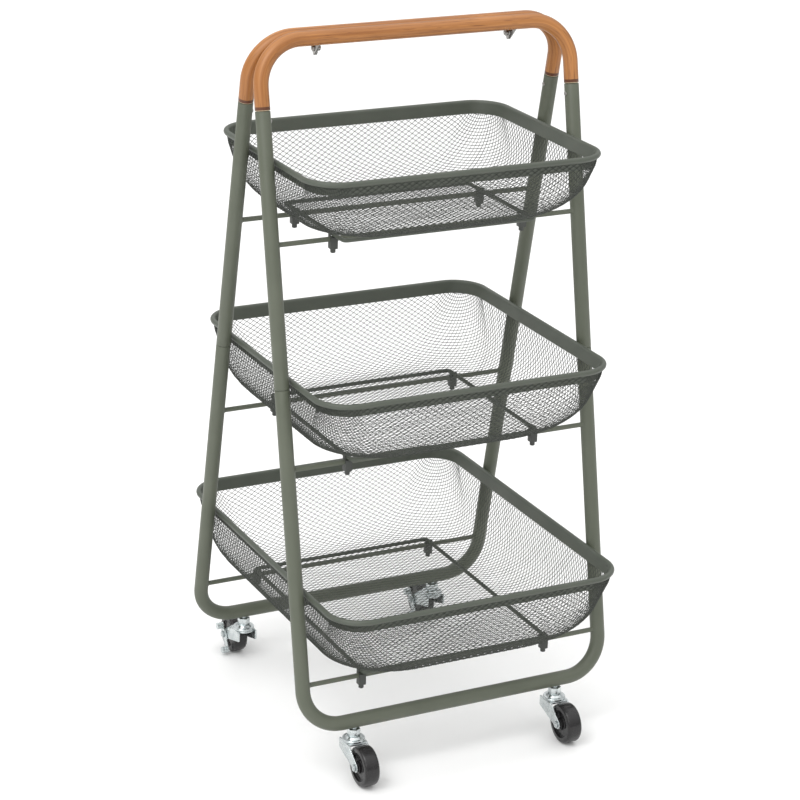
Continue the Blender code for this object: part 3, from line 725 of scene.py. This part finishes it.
    def straight_tube(self, side: Side, hand: Hand, top: float, bottom: float) -> BMesh:
        """Straight leg tube between two heights, with rounded ends."""
        down = Vector((0, side.value * self.lean, -1)) * self.upright
        x = hand.value * self.leg_x
        stations = []
        for inset, width in self.end_rings():
            point = self.point(side, x, top) + down * inset
            stations.append(self.tube_station(side, point, down, width))
        for inset, width in self.end_rings()[::-1]:
            point = self.point(side, x, bottom) - down * inset
            stations.append(self.tube_station(side, point, down, width))
        return sweep(circle(self.tube_sides), stations, coords=True)

    def build(self) -> None:
        """Builds every piece of the two frames."""
        for side in Side:
            body = f"{side.label}_frame"
            handle = self.bent_tube(side, self.handle_height, self.handle_bend, self.seam_height + self.seam_gap)
            self.shop.deliver(f"handle_tube_{side.label}", handle, "handle_wood", body, [f"handle_{side.label}"])
            self.build_lugs(side, body)
            base = self.bent_tube(side, self.base_height, self.base_bend, self.joint_height)
            self.shop.deliver(f"base_tube_{side.label}", base, "frame_paint", body, [f"base_{side.label}"])
            for hand in Hand:
                self.build_leg(side, hand, body)
            for tier in Tier:
                self.build_crossbar(side, tier, body)
                for hand in Hand:
                    self.build_clip(side, hand, tier, body)
        for hand in Hand:
            self.build_bolt(hand)

    def build_leg(self, side: Side, hand: Hand, body: str) -> None:
        """One upper leg with its screw."""
        label = f"{side.label}_{hand.label}"
        leg = self.straight_tube(side, hand, self.seam_height - self.seam_gap, self.joint_height + self.seam_gap)
        self.shop.deliver(f"leg_tube_{label}", leg, "frame_paint", body, [f"upper_leg_{label}"])
        low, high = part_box(f"leg_screw_{label}")
        centre = (low + high) / 2
        inward = -X_AXIS * hand.value
        centre.x = hand.value * (self.leg_x - self.tube)
        profile = [(-0.0008, 0.0), (-0.0008, 0.0026), (0.0005, 0.0026), (0.0010, 0.0021), (0.0013, 0.0010)]
        profile += [(0.0007, 0.0008), (0.0007, 0.0)]
        screw = turned(profile, inward, centre, 24)
        self.shop.deliver(f"leg_screw_head_{label}", screw, "fastener_steel", body, [f"leg_screw_{label}"])

    def build_lugs(self, side: Side, body: str) -> None:
        """Two pressed lugs under a handle bar, each with its weld."""
        parts = []
        for hand in Hand:
            low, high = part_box(f"hinge_bolt_{hand.label}")
            middle = self.hinge_x(hand)
            near = middle - side.value * hand.value * self.seam_gap / 2
            far = near - side.value * hand.value * self.lug_thickness
            bar = side.value * self.half_depth(self.handle_height)
            root = self.handle_height - self.tube + 0.0012
            circles = [
                (bar - 0.0045, root, 0.0008),
                (bar + 0.0045, root, 0.0008),
                (0.0, self.pivot.z, self.lug_radius),
                (0.0, self.pivot.z - self.lug_tip_drop, self.lug_tip_radius),
            ]
            parts.append(soften(plate(circles, near, far), 0.0003))
        self.shop.deliver(f"hinge_lugs_{side.label}", merged(parts), "fastener_steel", body)

    @staticmethod
    def hinge_x(hand: Hand) -> float:
        """Middle of the two lugs on one side, from the bolt's head and nut."""
        low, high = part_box(f"hinge_bolt_{hand.label}")
        head, nut_end = (high.x, low.x) if hand is Hand.RIGHT else (low.x, high.x)
        return head + (nut_end - head) * HINGE_SHARE

    def build_bolt(self, hand: Hand) -> None:
        """Hinge bolt: a domed head outside, and a nut with the bolt's end inside."""
        low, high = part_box(f"hinge_bolt_{hand.label}")
        outer, inner = (high.x, low.x) if hand is Hand.RIGHT else (low.x, high.x)
        centre = Vector((outer, self.pivot.y, self.pivot.z))
        inward = -X_AXIS * hand.value
        reach = abs(outer - inner)
        head = [(0.0, 0.0), (0.0, 0.0018), (0.0007, 0.0033), (0.0016, 0.0040), (0.0024, 0.0040), (0.0024, 0.002)]
        shank = [(reach - 0.0003, 0.002), (reach, 0.0017), (reach, 0.0)]
        bolt = turned(head + shank, inward, centre, 32)
        nut = soften(prism(6, 0.0040, reach - 0.0042, reach - 0.0010, inward, centre), 0.0003)
        name = f"hinge_bolt_{hand.label}"
        self.shop.deliver(f"{name}_and_nut", merged([bolt, nut]), "fastener_steel", "front_frame", [name])

    def build_crossbar(self, side: Side, tier: Tier, body: str) -> None:
        """Thin rod between the legs, with a small weld bead at each end."""
        name = f"crossbar_{side.label}_{tier.value}"
        low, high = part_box(name)
        centre = (low + high) / 2
        radius = (high.y - low.y) / 2
        reach = self.leg_x - self.tube + radius / 3
        stations = []
        flare = [(0.0, 1.5), (0.0006, 1.38), (0.0014, 1.12), (0.0024, 1.0)]
        for inset, width in flare:
            at = Vector((-reach + inset, centre.y, centre.z))
            stations.append(station(at, Y_AXIS, Z_AXIS, radius * width))
        for inset, width in flare[::-1]:
            at = Vector((reach - inset, centre.y, centre.z))
            stations.append(station(at, Y_AXIS, Z_AXIS, radius * width))
        self.shop.deliver(f"{name}_rod", sweep(circle(self.rod_sides), stations), "frame_paint", body, [name])

    def build_clip(self, side: Side, hand: Hand, tier: Tier, body: str) -> None:
        """Plastic clip: a block around the crossbar, two prongs beside the wire and a snap foot below."""
        label = f"clip_{side.label}_{tier.value}_{hand.label}"
        low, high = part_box(label)
        x, y = (low.x + high.x) / 2, (low.y + high.y) / 2
        bar = self.middle(f"crossbar_{side.label}_{tier.value}").z
        half = (high.x - low.x) / 2
        groove = half - self.clip_wall
        reach = self.clip_half_length
        start = Vector((low.x, y - reach, bar - self.clip_below))
        end = Vector((high.x, y + reach, bar + self.clip_above))
        parts = [soften(block(start, end), self.clip_round)]
        inner = y - side.value * reach
        outer = y + side.value * 0.0005
        for sign in (-1, 1):
            edges = sorted((x + sign * groove, x + sign * half))
            depth = sorted((inner, outer))
            start = Vector((edges[0], depth[0], bar))
            end = Vector((edges[1], depth[1], high.z))
            parts.append(soften(block(start, end), 0.0005))
        foot = [(-0.0050, 0.0), (-0.0050, 0.0024), (-0.0044, 0.0032), (0.0010, 0.0032), (0.0010, 0.0)]
        parts.append(turned(foot, Z_AXIS, Vector((x, y, low.z + 0.0050)), 20))
        self.shop.deliver(f"{label}_moulding", merged(parts), "clip_plastic", body, [label])


@dataclass
class Basket:
    """One basket: rolled rim, tray of woven wire and the wire frame under it."""

    shop: Workshop
    tier: Tier
    corner: float = 0.045
    lip: float = 0.0035
    band: float = 0.0016
    fillet: float = 0.058
    draft: float = math.radians(8)
    corner_growth: float = 0.55
    mesh_cell: tuple[float, float] = (0.0094, 0.0063)
    mesh_wire: float = 0.00037
    wire_corner: float = 0.005
    corner_steps: int = 18
    search_steps: int = 34

    def __post_init__(self) -> None:
        """Reads the basket's size and place from the frame."""
        name = self.tier.value
        self.rim_low, self.rim_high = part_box(f"basket_{name}_rim")
        self.tray_low, self.tray_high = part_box(f"basket_{name}_tray")
        self.wire_low, self.wire_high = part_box(f"basket_{name}_wire_frame")
        self.body = f"basket_{name}"
        self.sheet_inset = self.mesh_wire * 2
        self.floor = self.tray_low.z + self.sheet_inset
        self.bend = self.fillet - self.sheet_inset
        self.turn = math.pi / 2 - self.draft
        wall_height = self.tray_high.z - self.floor - self.bend * (1 - math.cos(self.turn))
        self.arc = self.bend * self.turn
        self.top_reach = self.arc + wall_height / math.cos(self.draft)
        taken = self.sheet_inset / math.cos(self.draft) + wall_height * math.tan(self.draft)
        taken += self.bend * math.sin(self.turn)
        self.flat_x, self.flat_y = self.tray_high.x - taken, self.tray_high.y - taken
        banded = self.tray_high.z - self.rim_low.z
        inset = self.rim_high.x - self.tray_high.x + self.sheet_inset + banded * math.tan(self.draft)
        self.plan_corner = self.corner - inset

    def build(self) -> None:
        """Builds the basket's pieces."""
        self.build_rim()
        self.build_wire_frame()
        self.build_tray()

    def build_rim(self) -> None:
        """Rolled lip with a flat band that hangs from its inner side."""
        lip, depth = self.lip, self.rim_high.z - self.rim_low.z
        lean = (depth - 2 * lip) * math.tan(self.draft)
        section = [(-lip + lip * math.cos(a), -lip + lip * math.sin(a)) for a in np.linspace(0, math.pi, 13)]
        edge = 0.0005
        inner, outer = -2 * lip - lean, -2 * lip - lean + self.band
        section += [(inner, -depth + edge), (inner + edge, -depth), (outer - edge, -depth), (outer, -depth + edge)]
        fold = math.acos((lip - self.band) / lip)
        angles = np.linspace(math.pi - fold, 0, 11)[:-1]
        section += [(-lip + lip * math.cos(a), -lip - lip * math.sin(a)) for a in angles]
        stations = rounded_rectangle(
            self.rim_high.x, self.rim_high.y, self.corner, self.rim_high.z, self.corner_steps
        )
        bm = sweep(section, stations, closed=True)
        name = f"basket_{self.tier.value}_rim"
        self.shop.deliver(f"{name}_rolled", bm, "basket_paint", self.body, [name])

    def build_wire_frame(self) -> None:
        """Bent rod under the tray's floor."""
        radius = (self.wire_high.z - self.wire_low.z) / 2
        height = (self.wire_high.z + self.wire_low.z) / 2
        half_x, half_y = self.wire_high.x - radius, self.wire_high.y - radius
        stations = rounded_rectangle(half_x, half_y, self.wire_corner, height, 8)
        bm = sweep(circle(20, radius), stations, closed=True)
        name = f"basket_{self.tier.value}_wire_frame"
        self.shop.deliver(f"{name}_rod", bm, "basket_paint", self.body, [name])

    def levels(self, reach: np.ndarray) -> tuple[np.ndarray, np.ndarray, np.ndarray, np.ndarray]:
        """Profile of the tray from its floor's edge outwards.

        Args:
            reach: distance along the sheet past the edge of the flat floor.

        Returns:
            How far out and how high the sheet is there, its slope angle and its corner radius.
        """
        slope = np.clip(reach, 0, self.arc) / self.bend
        past = np.maximum(reach - self.arc, 0)
        out = np.where(reach < 0, reach, self.bend * np.sin(slope) + past * math.sin(self.draft))
        up = self.bend * (1 - np.cos(slope)) + past * math.cos(self.draft)
        under_band = np.maximum(self.rim_low.z - self.floor - up, 0)
        return out, up, slope, self.plan_corner + self.corner_growth * under_band

    def on_tray(self, u: np.ndarray, v: np.ndarray) -> tuple[np.ndarray, np.ndarray, np.ndarray]:
        """Lays points of the flat sheet onto the tray. The sheet draws in around the corners.

        Args:
            u: distances across the flat sheet.
            v: distances along the flat sheet.

        Returns:
            The points, the outward normals there, and how far past the flat floor each one is.
        """
        a, b = np.abs(u), np.abs(v)
        low = np.full(a.shape, -min(self.flat_x, self.flat_y))
        high = np.full(a.shape, 0.3)
        for _ in range(self.search_steps):
            middle = (low + high) / 2
            out, _, _, corner = self.levels(middle)
            past_x = a - (self.flat_x + out - corner)
            past_y = b - (self.flat_y + out - corner)
            round_gap = np.hypot(past_x, past_y) - (corner + middle - out)
            straight_gap = np.maximum(a - self.flat_x - middle, b - self.flat_y - middle)
            outside = np.where((past_x > 0) & (past_y > 0), round_gap, straight_gap) > 0
            low, high = np.where(outside, middle, low), np.where(outside, high, middle)
        reach = (low + high) / 2
        out, up, slope, corner = self.levels(reach)
        edge_x, edge_y = self.flat_x + out, self.flat_y + out
        past_x, past_y = a - edge_x + corner, b - edge_y + corner
        in_corner = (past_x > 0) & (past_y > 0)
        across_front = ~in_corner & (b - self.flat_y > a - self.flat_x)
        away = np.maximum(np.hypot(past_x, past_y), 1e-9)
        out_x = np.where(in_corner, past_x / away, np.where(across_front, 0.0, 1.0))
        out_y = np.where(in_corner, past_y / away, np.where(across_front, 1.0, 0.0))
        x = np.where(in_corner, edge_x - corner * (1 - out_x), np.where(across_front, a, edge_x))
        y = np.where(in_corner, edge_y - corner * (1 - out_y), np.where(across_front, edge_y, b))
        sign_x, sign_y = np.where(u < 0, -1.0, 1.0), np.where(v < 0, -1.0, 1.0)
        points = np.stack([x * sign_x, y * sign_y, self.floor + up], axis=-1)
        normals = np.stack([out_x * sign_x * np.sin(slope), out_y * sign_y * np.sin(slope), -np.cos(slope)], axis=-1)
        return points, normals, reach

    def wires(self, leaning: int, top: float) -> list[np.ndarray]:
        """Centre lines of the wires that run one diagonal way.

        Args:
            leaning: 1 or -1, the diagonal's direction.
            top: how far past the flat floor the sheet goes.

        Returns:
            One array of points for each wire.
        """
        step_x, step_y = self.mesh_cell
        reach = self.flat_x + self.flat_y + 2 * top
        count = int(reach / min(step_x, step_y))
        lines = []
        numbers = np.arange(-count, count + 1)
        for line in numbers:
            u = (line + numbers) * step_x / 2
            v = (line - numbers) * step_y / 2 * leaning
            limit_x, limit_y = self.flat_x + top, self.flat_y + top
            near = (np.abs(u) < limit_x + step_x) & (np.abs(v) < limit_y + step_y)
            if near.sum() < 3:
                continue
            points, normals, past = self.on_tray(u[near], v[near])
            sign = np.where((line + numbers[near]) % 2 == 0, 1.0, -1.0)[:, None] * leaning
            points = points + normals * self.mesh_wire * 0.95 * sign
            inside = np.flatnonzero(past <= top)
            if len(inside) < 2:
                continue
            first, last = inside[0], inside[-1]
            route = list(points[first : last + 1])
            for kept, beyond, at in ((first, first - 1, 0), (last, last + 1, len(route))):
                if 0 <= beyond < len(points):
                    share = (top - past[kept]) / (past[beyond] - past[kept])
                    end = points[kept] + (points[beyond] - points[kept]) * share
                    route.insert(at if at == 0 else len(route), end)
            lines.append(np.array(route))
        return lines

    def build_tray(self) -> None:
        """Woven wire: two diagonal sets of wires that pass over and under each other."""
        name = f"basket_{self.tier.value}_tray"
        for label, leaning in (("weft", 1), ("warp", -1)):
            curve = bpy.data.curves.new(f"{name}_{label}", "CURVE")
            curve.dimensions = "3D"
            curve.bevel_depth = self.mesh_wire
            curve.bevel_resolution = 0
            curve.use_fill_caps = True
            for route in self.wires(leaning, self.top_reach):
                spline = curve.splines.new("POLY")
                spline.points.add(len(route) - 1)
                spline.points.foreach_set("co", np.hstack([route, np.ones((len(route), 1))]).ravel())
            guide = bpy.data.objects.new(curve.name, curve)
            bpy.context.collection.objects.link(guide)
            graph = bpy.context.evaluated_depsgraph_get()
            mesh = bpy.data.meshes.new_from_object(guide.evaluated_get(graph))
            bpy.data.objects.remove(guide)
            bpy.data.curves.remove(curve)
            mesh.name = f"{name}_{label}"
            mesh.shade_smooth()
            nodes = [name] if leaning == 1 else []
            self.shop.deliver_mesh(f"{name}_{label}", mesh, "basket_mesh", self.body, nodes)


@dataclass
class Caster:
    """Swivel caster: stem with nut and race, pressed fork, wheel, axle, and a brake lever at the back."""

    shop: Workshop
    side: Side
    hand: Hand
    nut_top: float = 0.0610
    nut_low: float = 0.0500
    race_top: float = 0.0487
    race_low: float = 0.0462
    race_radius: float = 0.0140
    fork_gap: float = 0.011
    sheet: float = 0.002

    def __post_init__(self) -> None:
        """Reads the caster's place from the frame."""
        self.label = f"{self.side.label}_{self.hand.label}"
        self.node = f"caster_{self.label}"
        swivel = next(j for j in FRAME["joints"] if j["name"] == f"{self.node}_swivel")
        self.stem = Vector((swivel["pos_m"][0], swivel["pos_m"][1], 0))
        low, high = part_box(f"{self.node}_wheel")
        self.axle = (low + high) / 2
        self.wheel_radius = (high.z - low.z) / 2
        self.way = self.side.value
        self.body = f"caster_{self.label}"

    def build(self) -> None:
        """Builds the caster's pieces."""
        self.build_stem()
        self.build_fork()
        self.build_wheel()
        self.build_axle()
        if self.side is Side.BACK:
            self.build_lever()

    def build_stem(self) -> None:
        """Threaded stem, hexagonal nut with its washer, and the fixed race cup."""
        low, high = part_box(f"{self.node}_stem")
        nut_low, race_top, race_low = self.nut_low, self.race_top, self.race_low
        stem = turned([(0.0495, 0.0), (0.0495, 0.004), (high.z, 0.004), (high.z, 0.0)], Z_AXIS, self.stem, 32)
        nut = soften(prism(6, 0.0082, nut_low + 0.0012, self.nut_top, Z_AXIS, self.stem), 0.0005)
        cup = [
            (nut_low + 0.0012, 0.0),
            (nut_low + 0.0012, 0.0084),
            (nut_low, 0.0095),
            (race_top + 0.0002, 0.0105),
            (race_top, 0.0135),
            (race_top - 0.0006, self.race_radius),
            (race_low, self.race_radius),
            (race_low - 0.0002, 0.0132),
            (race_low + 0.0006, 0.0105),
            (race_low, 0.0060),
            (race_low, 0.0030),
            (low.z + 0.0016, 0.0030),
            (low.z + 0.0016, 0.0058),
            (low.z + 0.0006, 0.0050),
            (low.z, 0.0030),
            (low.z, 0.0),
        ]
        parts = [stem, nut, turned(cup, Z_AXIS, self.stem, 48)]
        name = f"{self.node}_stem"
        self.shop.deliver(f"{name}_and_race", merged(parts), "zinc", f"{self.side.label}_frame", [name])

    def build_fork(self) -> None:
        """Pressed steel fork: round crown with a turned-down rim, and two cheeks that taper to the axle."""
        low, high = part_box(f"{self.node}_fork")
        crown_low, crown_high, crown = high.z - 0.0026, high.z, self.race_radius
        points = []
        for height, radius in ((crown_low, crown), (crown_high - 0.0006, crown), (crown_high, crown - 0.0008)):
            points += [self.stem + Vector((a, b, height)) for a, b in circle(48, radius)]
            edge = radius - 0.001
            points += [self.stem + Vector((x, self.way * 0.013, height)) for x in (-edge, edge)]
        parts = [soften(hull(points), 0.0004)]
        y, z = self.axle.y, self.axle.z
        circles = [
            (self.stem.y - self.way * 0.0122, crown_low + 0.0008, 0.0012),
            (self.stem.y + self.way * 0.0124, crown_low + 0.0008, 0.0012),
            (self.stem.y - self.way * 0.0118, crown_low - 0.0100, 0.0014),
            (y, z, 0.006),
        ]
        for hand in (-1, 1):
            inner = self.stem.x + hand * self.fork_gap
            parts.append(soften(plate(circles, inner, inner + hand * self.sheet), 0.0005, 3))
        self.shop.deliver(f"{self.node}_pressed_fork", merged(parts), "zinc", self.body, [f"{self.node}_fork"])

    def build_wheel(self) -> None:
        """Moulded wheel: rounded tread, recessed web and a hub boss each side."""
        radius = self.wheel_radius
        half = [
            (0.0104, 0.0029),
            (0.0104, 0.0068),
            (0.0100, 0.0074),
            (0.0070, 0.0078),
            (0.0064, 0.0086),
            (0.0064, 0.0166),
            (0.0070, 0.0174),
            (0.0092, 0.0178),
            (0.0096, 0.0184),
            (0.0096, radius - 0.0030),
            (0.0091, radius - 0.0016),
            (0.0080, radius - 0.0007),
            (0.0062, radius - 0.0002),
            (0.0035, radius),
        ]
        profile = half + [(-x, r) for x, r in half[::-1]]
        wheel = turned(profile, X_AXIS, self.axle, 72, ring=True)
        name = f"{self.node}_wheel"
        self.shop.deliver(f"{name}_moulded", wheel, "wheel_tyre", f"wheel_{self.label}", [name])

    def build_axle(self) -> None:
        """Axle bolt: a domed head on the right, and a nut on the left."""
        low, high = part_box(f"{self.node}_axle")
        left, right = low.x - self.axle.x, high.x - self.axle.x
        profile = [(left, 0.0), (left, 0.0021), (left + 0.0004, 0.0025), (right - 0.0028, 0.0025)]
        profile += [(right - 0.0028, 0.0045), (right - 0.0016, 0.0044), (right - 0.0005, 0.0034), (right, 0.0018)]
        profile.append((right, 0.0))
        bolt = turned(profile, X_AXIS, self.axle, 32)
        nut = soften(prism(6, 0.0045, left + 0.0006, left + 0.0028, X_AXIS, self.axle), 0.0003)
        name = f"{self.node}_axle"
        self.shop.deliver(f"{name}_bolt", merged([bolt, nut]), "zinc", self.body, [name])

    def build_lever(self) -> None:
        """Brake rocker beside the left cheek: a web on the axle line and two ribbed foot pads."""
        name = f"{self.node}_brake_lever"
        low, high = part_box(name)
        inner = high.x
        y, z = self.axle.y, self.axle.z
        upper = (y + 0.006, z + 0.010)
        lower = (y - 0.012, z - 0.0175)
        circles = [(*upper, 0.0045), (y, z, 0.0062), (*lower, 0.0045)]
        parts = [soften(plate(circles, inner, inner - 0.0022), 0.0004)]
        for pad_y, pad_z in (upper, lower):
            parts.append(soften(plate([(pad_y, pad_z, 0.0036)], inner - 0.001, low.x, 28), 0.0005))
            for rib in range(4):
                x = inner - 0.0032 - rib * 0.0017
                parts.append(soften(plate([(pad_y, pad_z, 0.0045)], x, x - 0.0008, 28), 0.0002, 1))
        self.shop.deliver(f"{name}_rocker", merged(parts), "zinc", f"brake_{self.label}", [name])


@dataclass
class Studio:
    """Pale floor, soft lights and the camera."""

    camera_place: tuple[float, float, float] = (-1.3478, -2.6340, 1.5098)
    heading: float = -27.03
    pitch: float = 20.45
    roll: float = 1.71
    lens: float = 114.25
    floor_size: float = 60.0
    horizon_light: float = 0.42
    zenith_light: float = 1.62

    def build(self) -> None:
        """Sets the stage."""
        scene = bpy.context.scene
        scene.view_settings.view_transform = "Standard"
        self.build_floor()
        self.build_lights()
        self.build_camera()

    def build_floor(self) -> None:
        """Large pale floor."""
        bm = bmesh.new()
        bmesh.ops.create_grid(bm, x_segments=1, y_segments=1, size=self.floor_size / 2)
        mesh = bpy.data.meshes.new("studio_floor")
        bm.to_mesh(mesh)
        bm.free()
        finish = bpy.data.materials.new("studio_floor")
        finish.use_nodes = True
        shader = finish.node_tree.nodes["Principled BSDF"]
        shader.inputs["Base Color"].default_value = (0.93, 0.93, 0.925, 1)
        shader.inputs["Roughness"].default_value = 0.9
        shader.inputs["Specular IOR Level"].default_value = 0.1
        mesh.materials.append(finish)
        floor = bpy.data.objects.new("studio_floor", mesh)
        bpy.context.collection.objects.link(floor)

    def build_lights(self) -> None:
        """White surroundings, brighter overhead, and two large softboxes."""
        world = bpy.data.worlds.new("studio")
        world.use_nodes = True
        background = world.node_tree.nodes["Background"]
        background.inputs["Color"].default_value = (1, 1, 1, 1)
        builder = NodeBuilder(world.node_tree)
        incoming = builder.add("ShaderNodeNewGeometry").outputs["Incoming"]
        toward = builder.add("ShaderNodeSeparateXYZ", {"Vector": incoming})
        height = builder.math("MULTIPLY", toward.outputs["Z"], -1.0)
        strength = builder.spread(height, 0.0, 1.0, self.horizon_light, self.zenith_light)
        world.node_tree.links.new(strength, background.inputs["Strength"])
        bpy.context.scene.world = world
        lamps = {
            "key_softbox": ((-1.9, -1.0, 3.0), 1.6, 34.0),
            "side_softbox": ((-2.4, -2.4, 1.6), 1.4, 12.0),
        }
        for name, (place, size, energy) in lamps.items():
            lamp = bpy.data.lights.new(name, "AREA")
            lamp.shape = "SQUARE"
            lamp.size = size
            lamp.energy = energy
            holder = bpy.data.objects.new(name, lamp)
            holder.location = place
            aim = Vector((0, 0, 0.45)) - Vector(place)
            holder.rotation_euler = aim.to_track_quat("-Z", "Y").to_euler()
            bpy.context.collection.objects.link(holder)

    def build_camera(self) -> None:
        """Camera above the cart's front left corner."""
        heading, pitch, roll = (math.radians(a) for a in (self.heading, self.pitch, self.roll))
        ahead = Vector((-math.sin(heading) * math.cos(pitch), math.cos(heading) * math.cos(pitch), -math.sin(pitch)))
        level = Vector((math.cos(heading), math.sin(heading), 0))
        above = level.cross(ahead)
        right = level * math.cos(roll) + above * math.sin(roll)
        up = above * math.cos(roll) - level * math.sin(roll)
        data = bpy.data.cameras.new("camera")
        data.lens = self.lens
        data.sensor_width = 36.0
        data.clip_end = 100.0
        camera = bpy.data.objects.new("camera", data)
        camera.matrix_world = station(Vector(self.camera_place), right, up)
        bpy.context.collection.objects.link(camera)
        bpy.context.scene.camera = camera


def main() -> None:
    """Builds the studio, then every sub-assembly of the cart."""
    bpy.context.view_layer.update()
    Studio().build()
    groups = {"surface_grain": surface_grain_group(), "wood_grain": wood_grain_group()}
    shop = Workshop({slot: finish.material(groups) for slot, finish in FINISHES.items()})
    FoldingFrame(shop).build()
    for tier in Tier:
        Basket(shop, tier).build()
    for side in Side:
        for hand in Hand:
            Caster(shop, side, hand).build()


with open("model.json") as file:
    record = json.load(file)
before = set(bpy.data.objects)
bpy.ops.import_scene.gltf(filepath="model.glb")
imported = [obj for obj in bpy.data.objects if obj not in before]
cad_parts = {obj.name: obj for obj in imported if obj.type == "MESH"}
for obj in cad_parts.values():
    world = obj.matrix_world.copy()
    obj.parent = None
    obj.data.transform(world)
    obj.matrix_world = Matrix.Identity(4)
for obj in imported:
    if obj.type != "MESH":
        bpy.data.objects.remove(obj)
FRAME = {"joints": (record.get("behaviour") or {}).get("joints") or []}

if __name__ == "__main__":
    logging.basicConfig(level=logging.INFO, format="%(name)s: %(message)s")
    main()
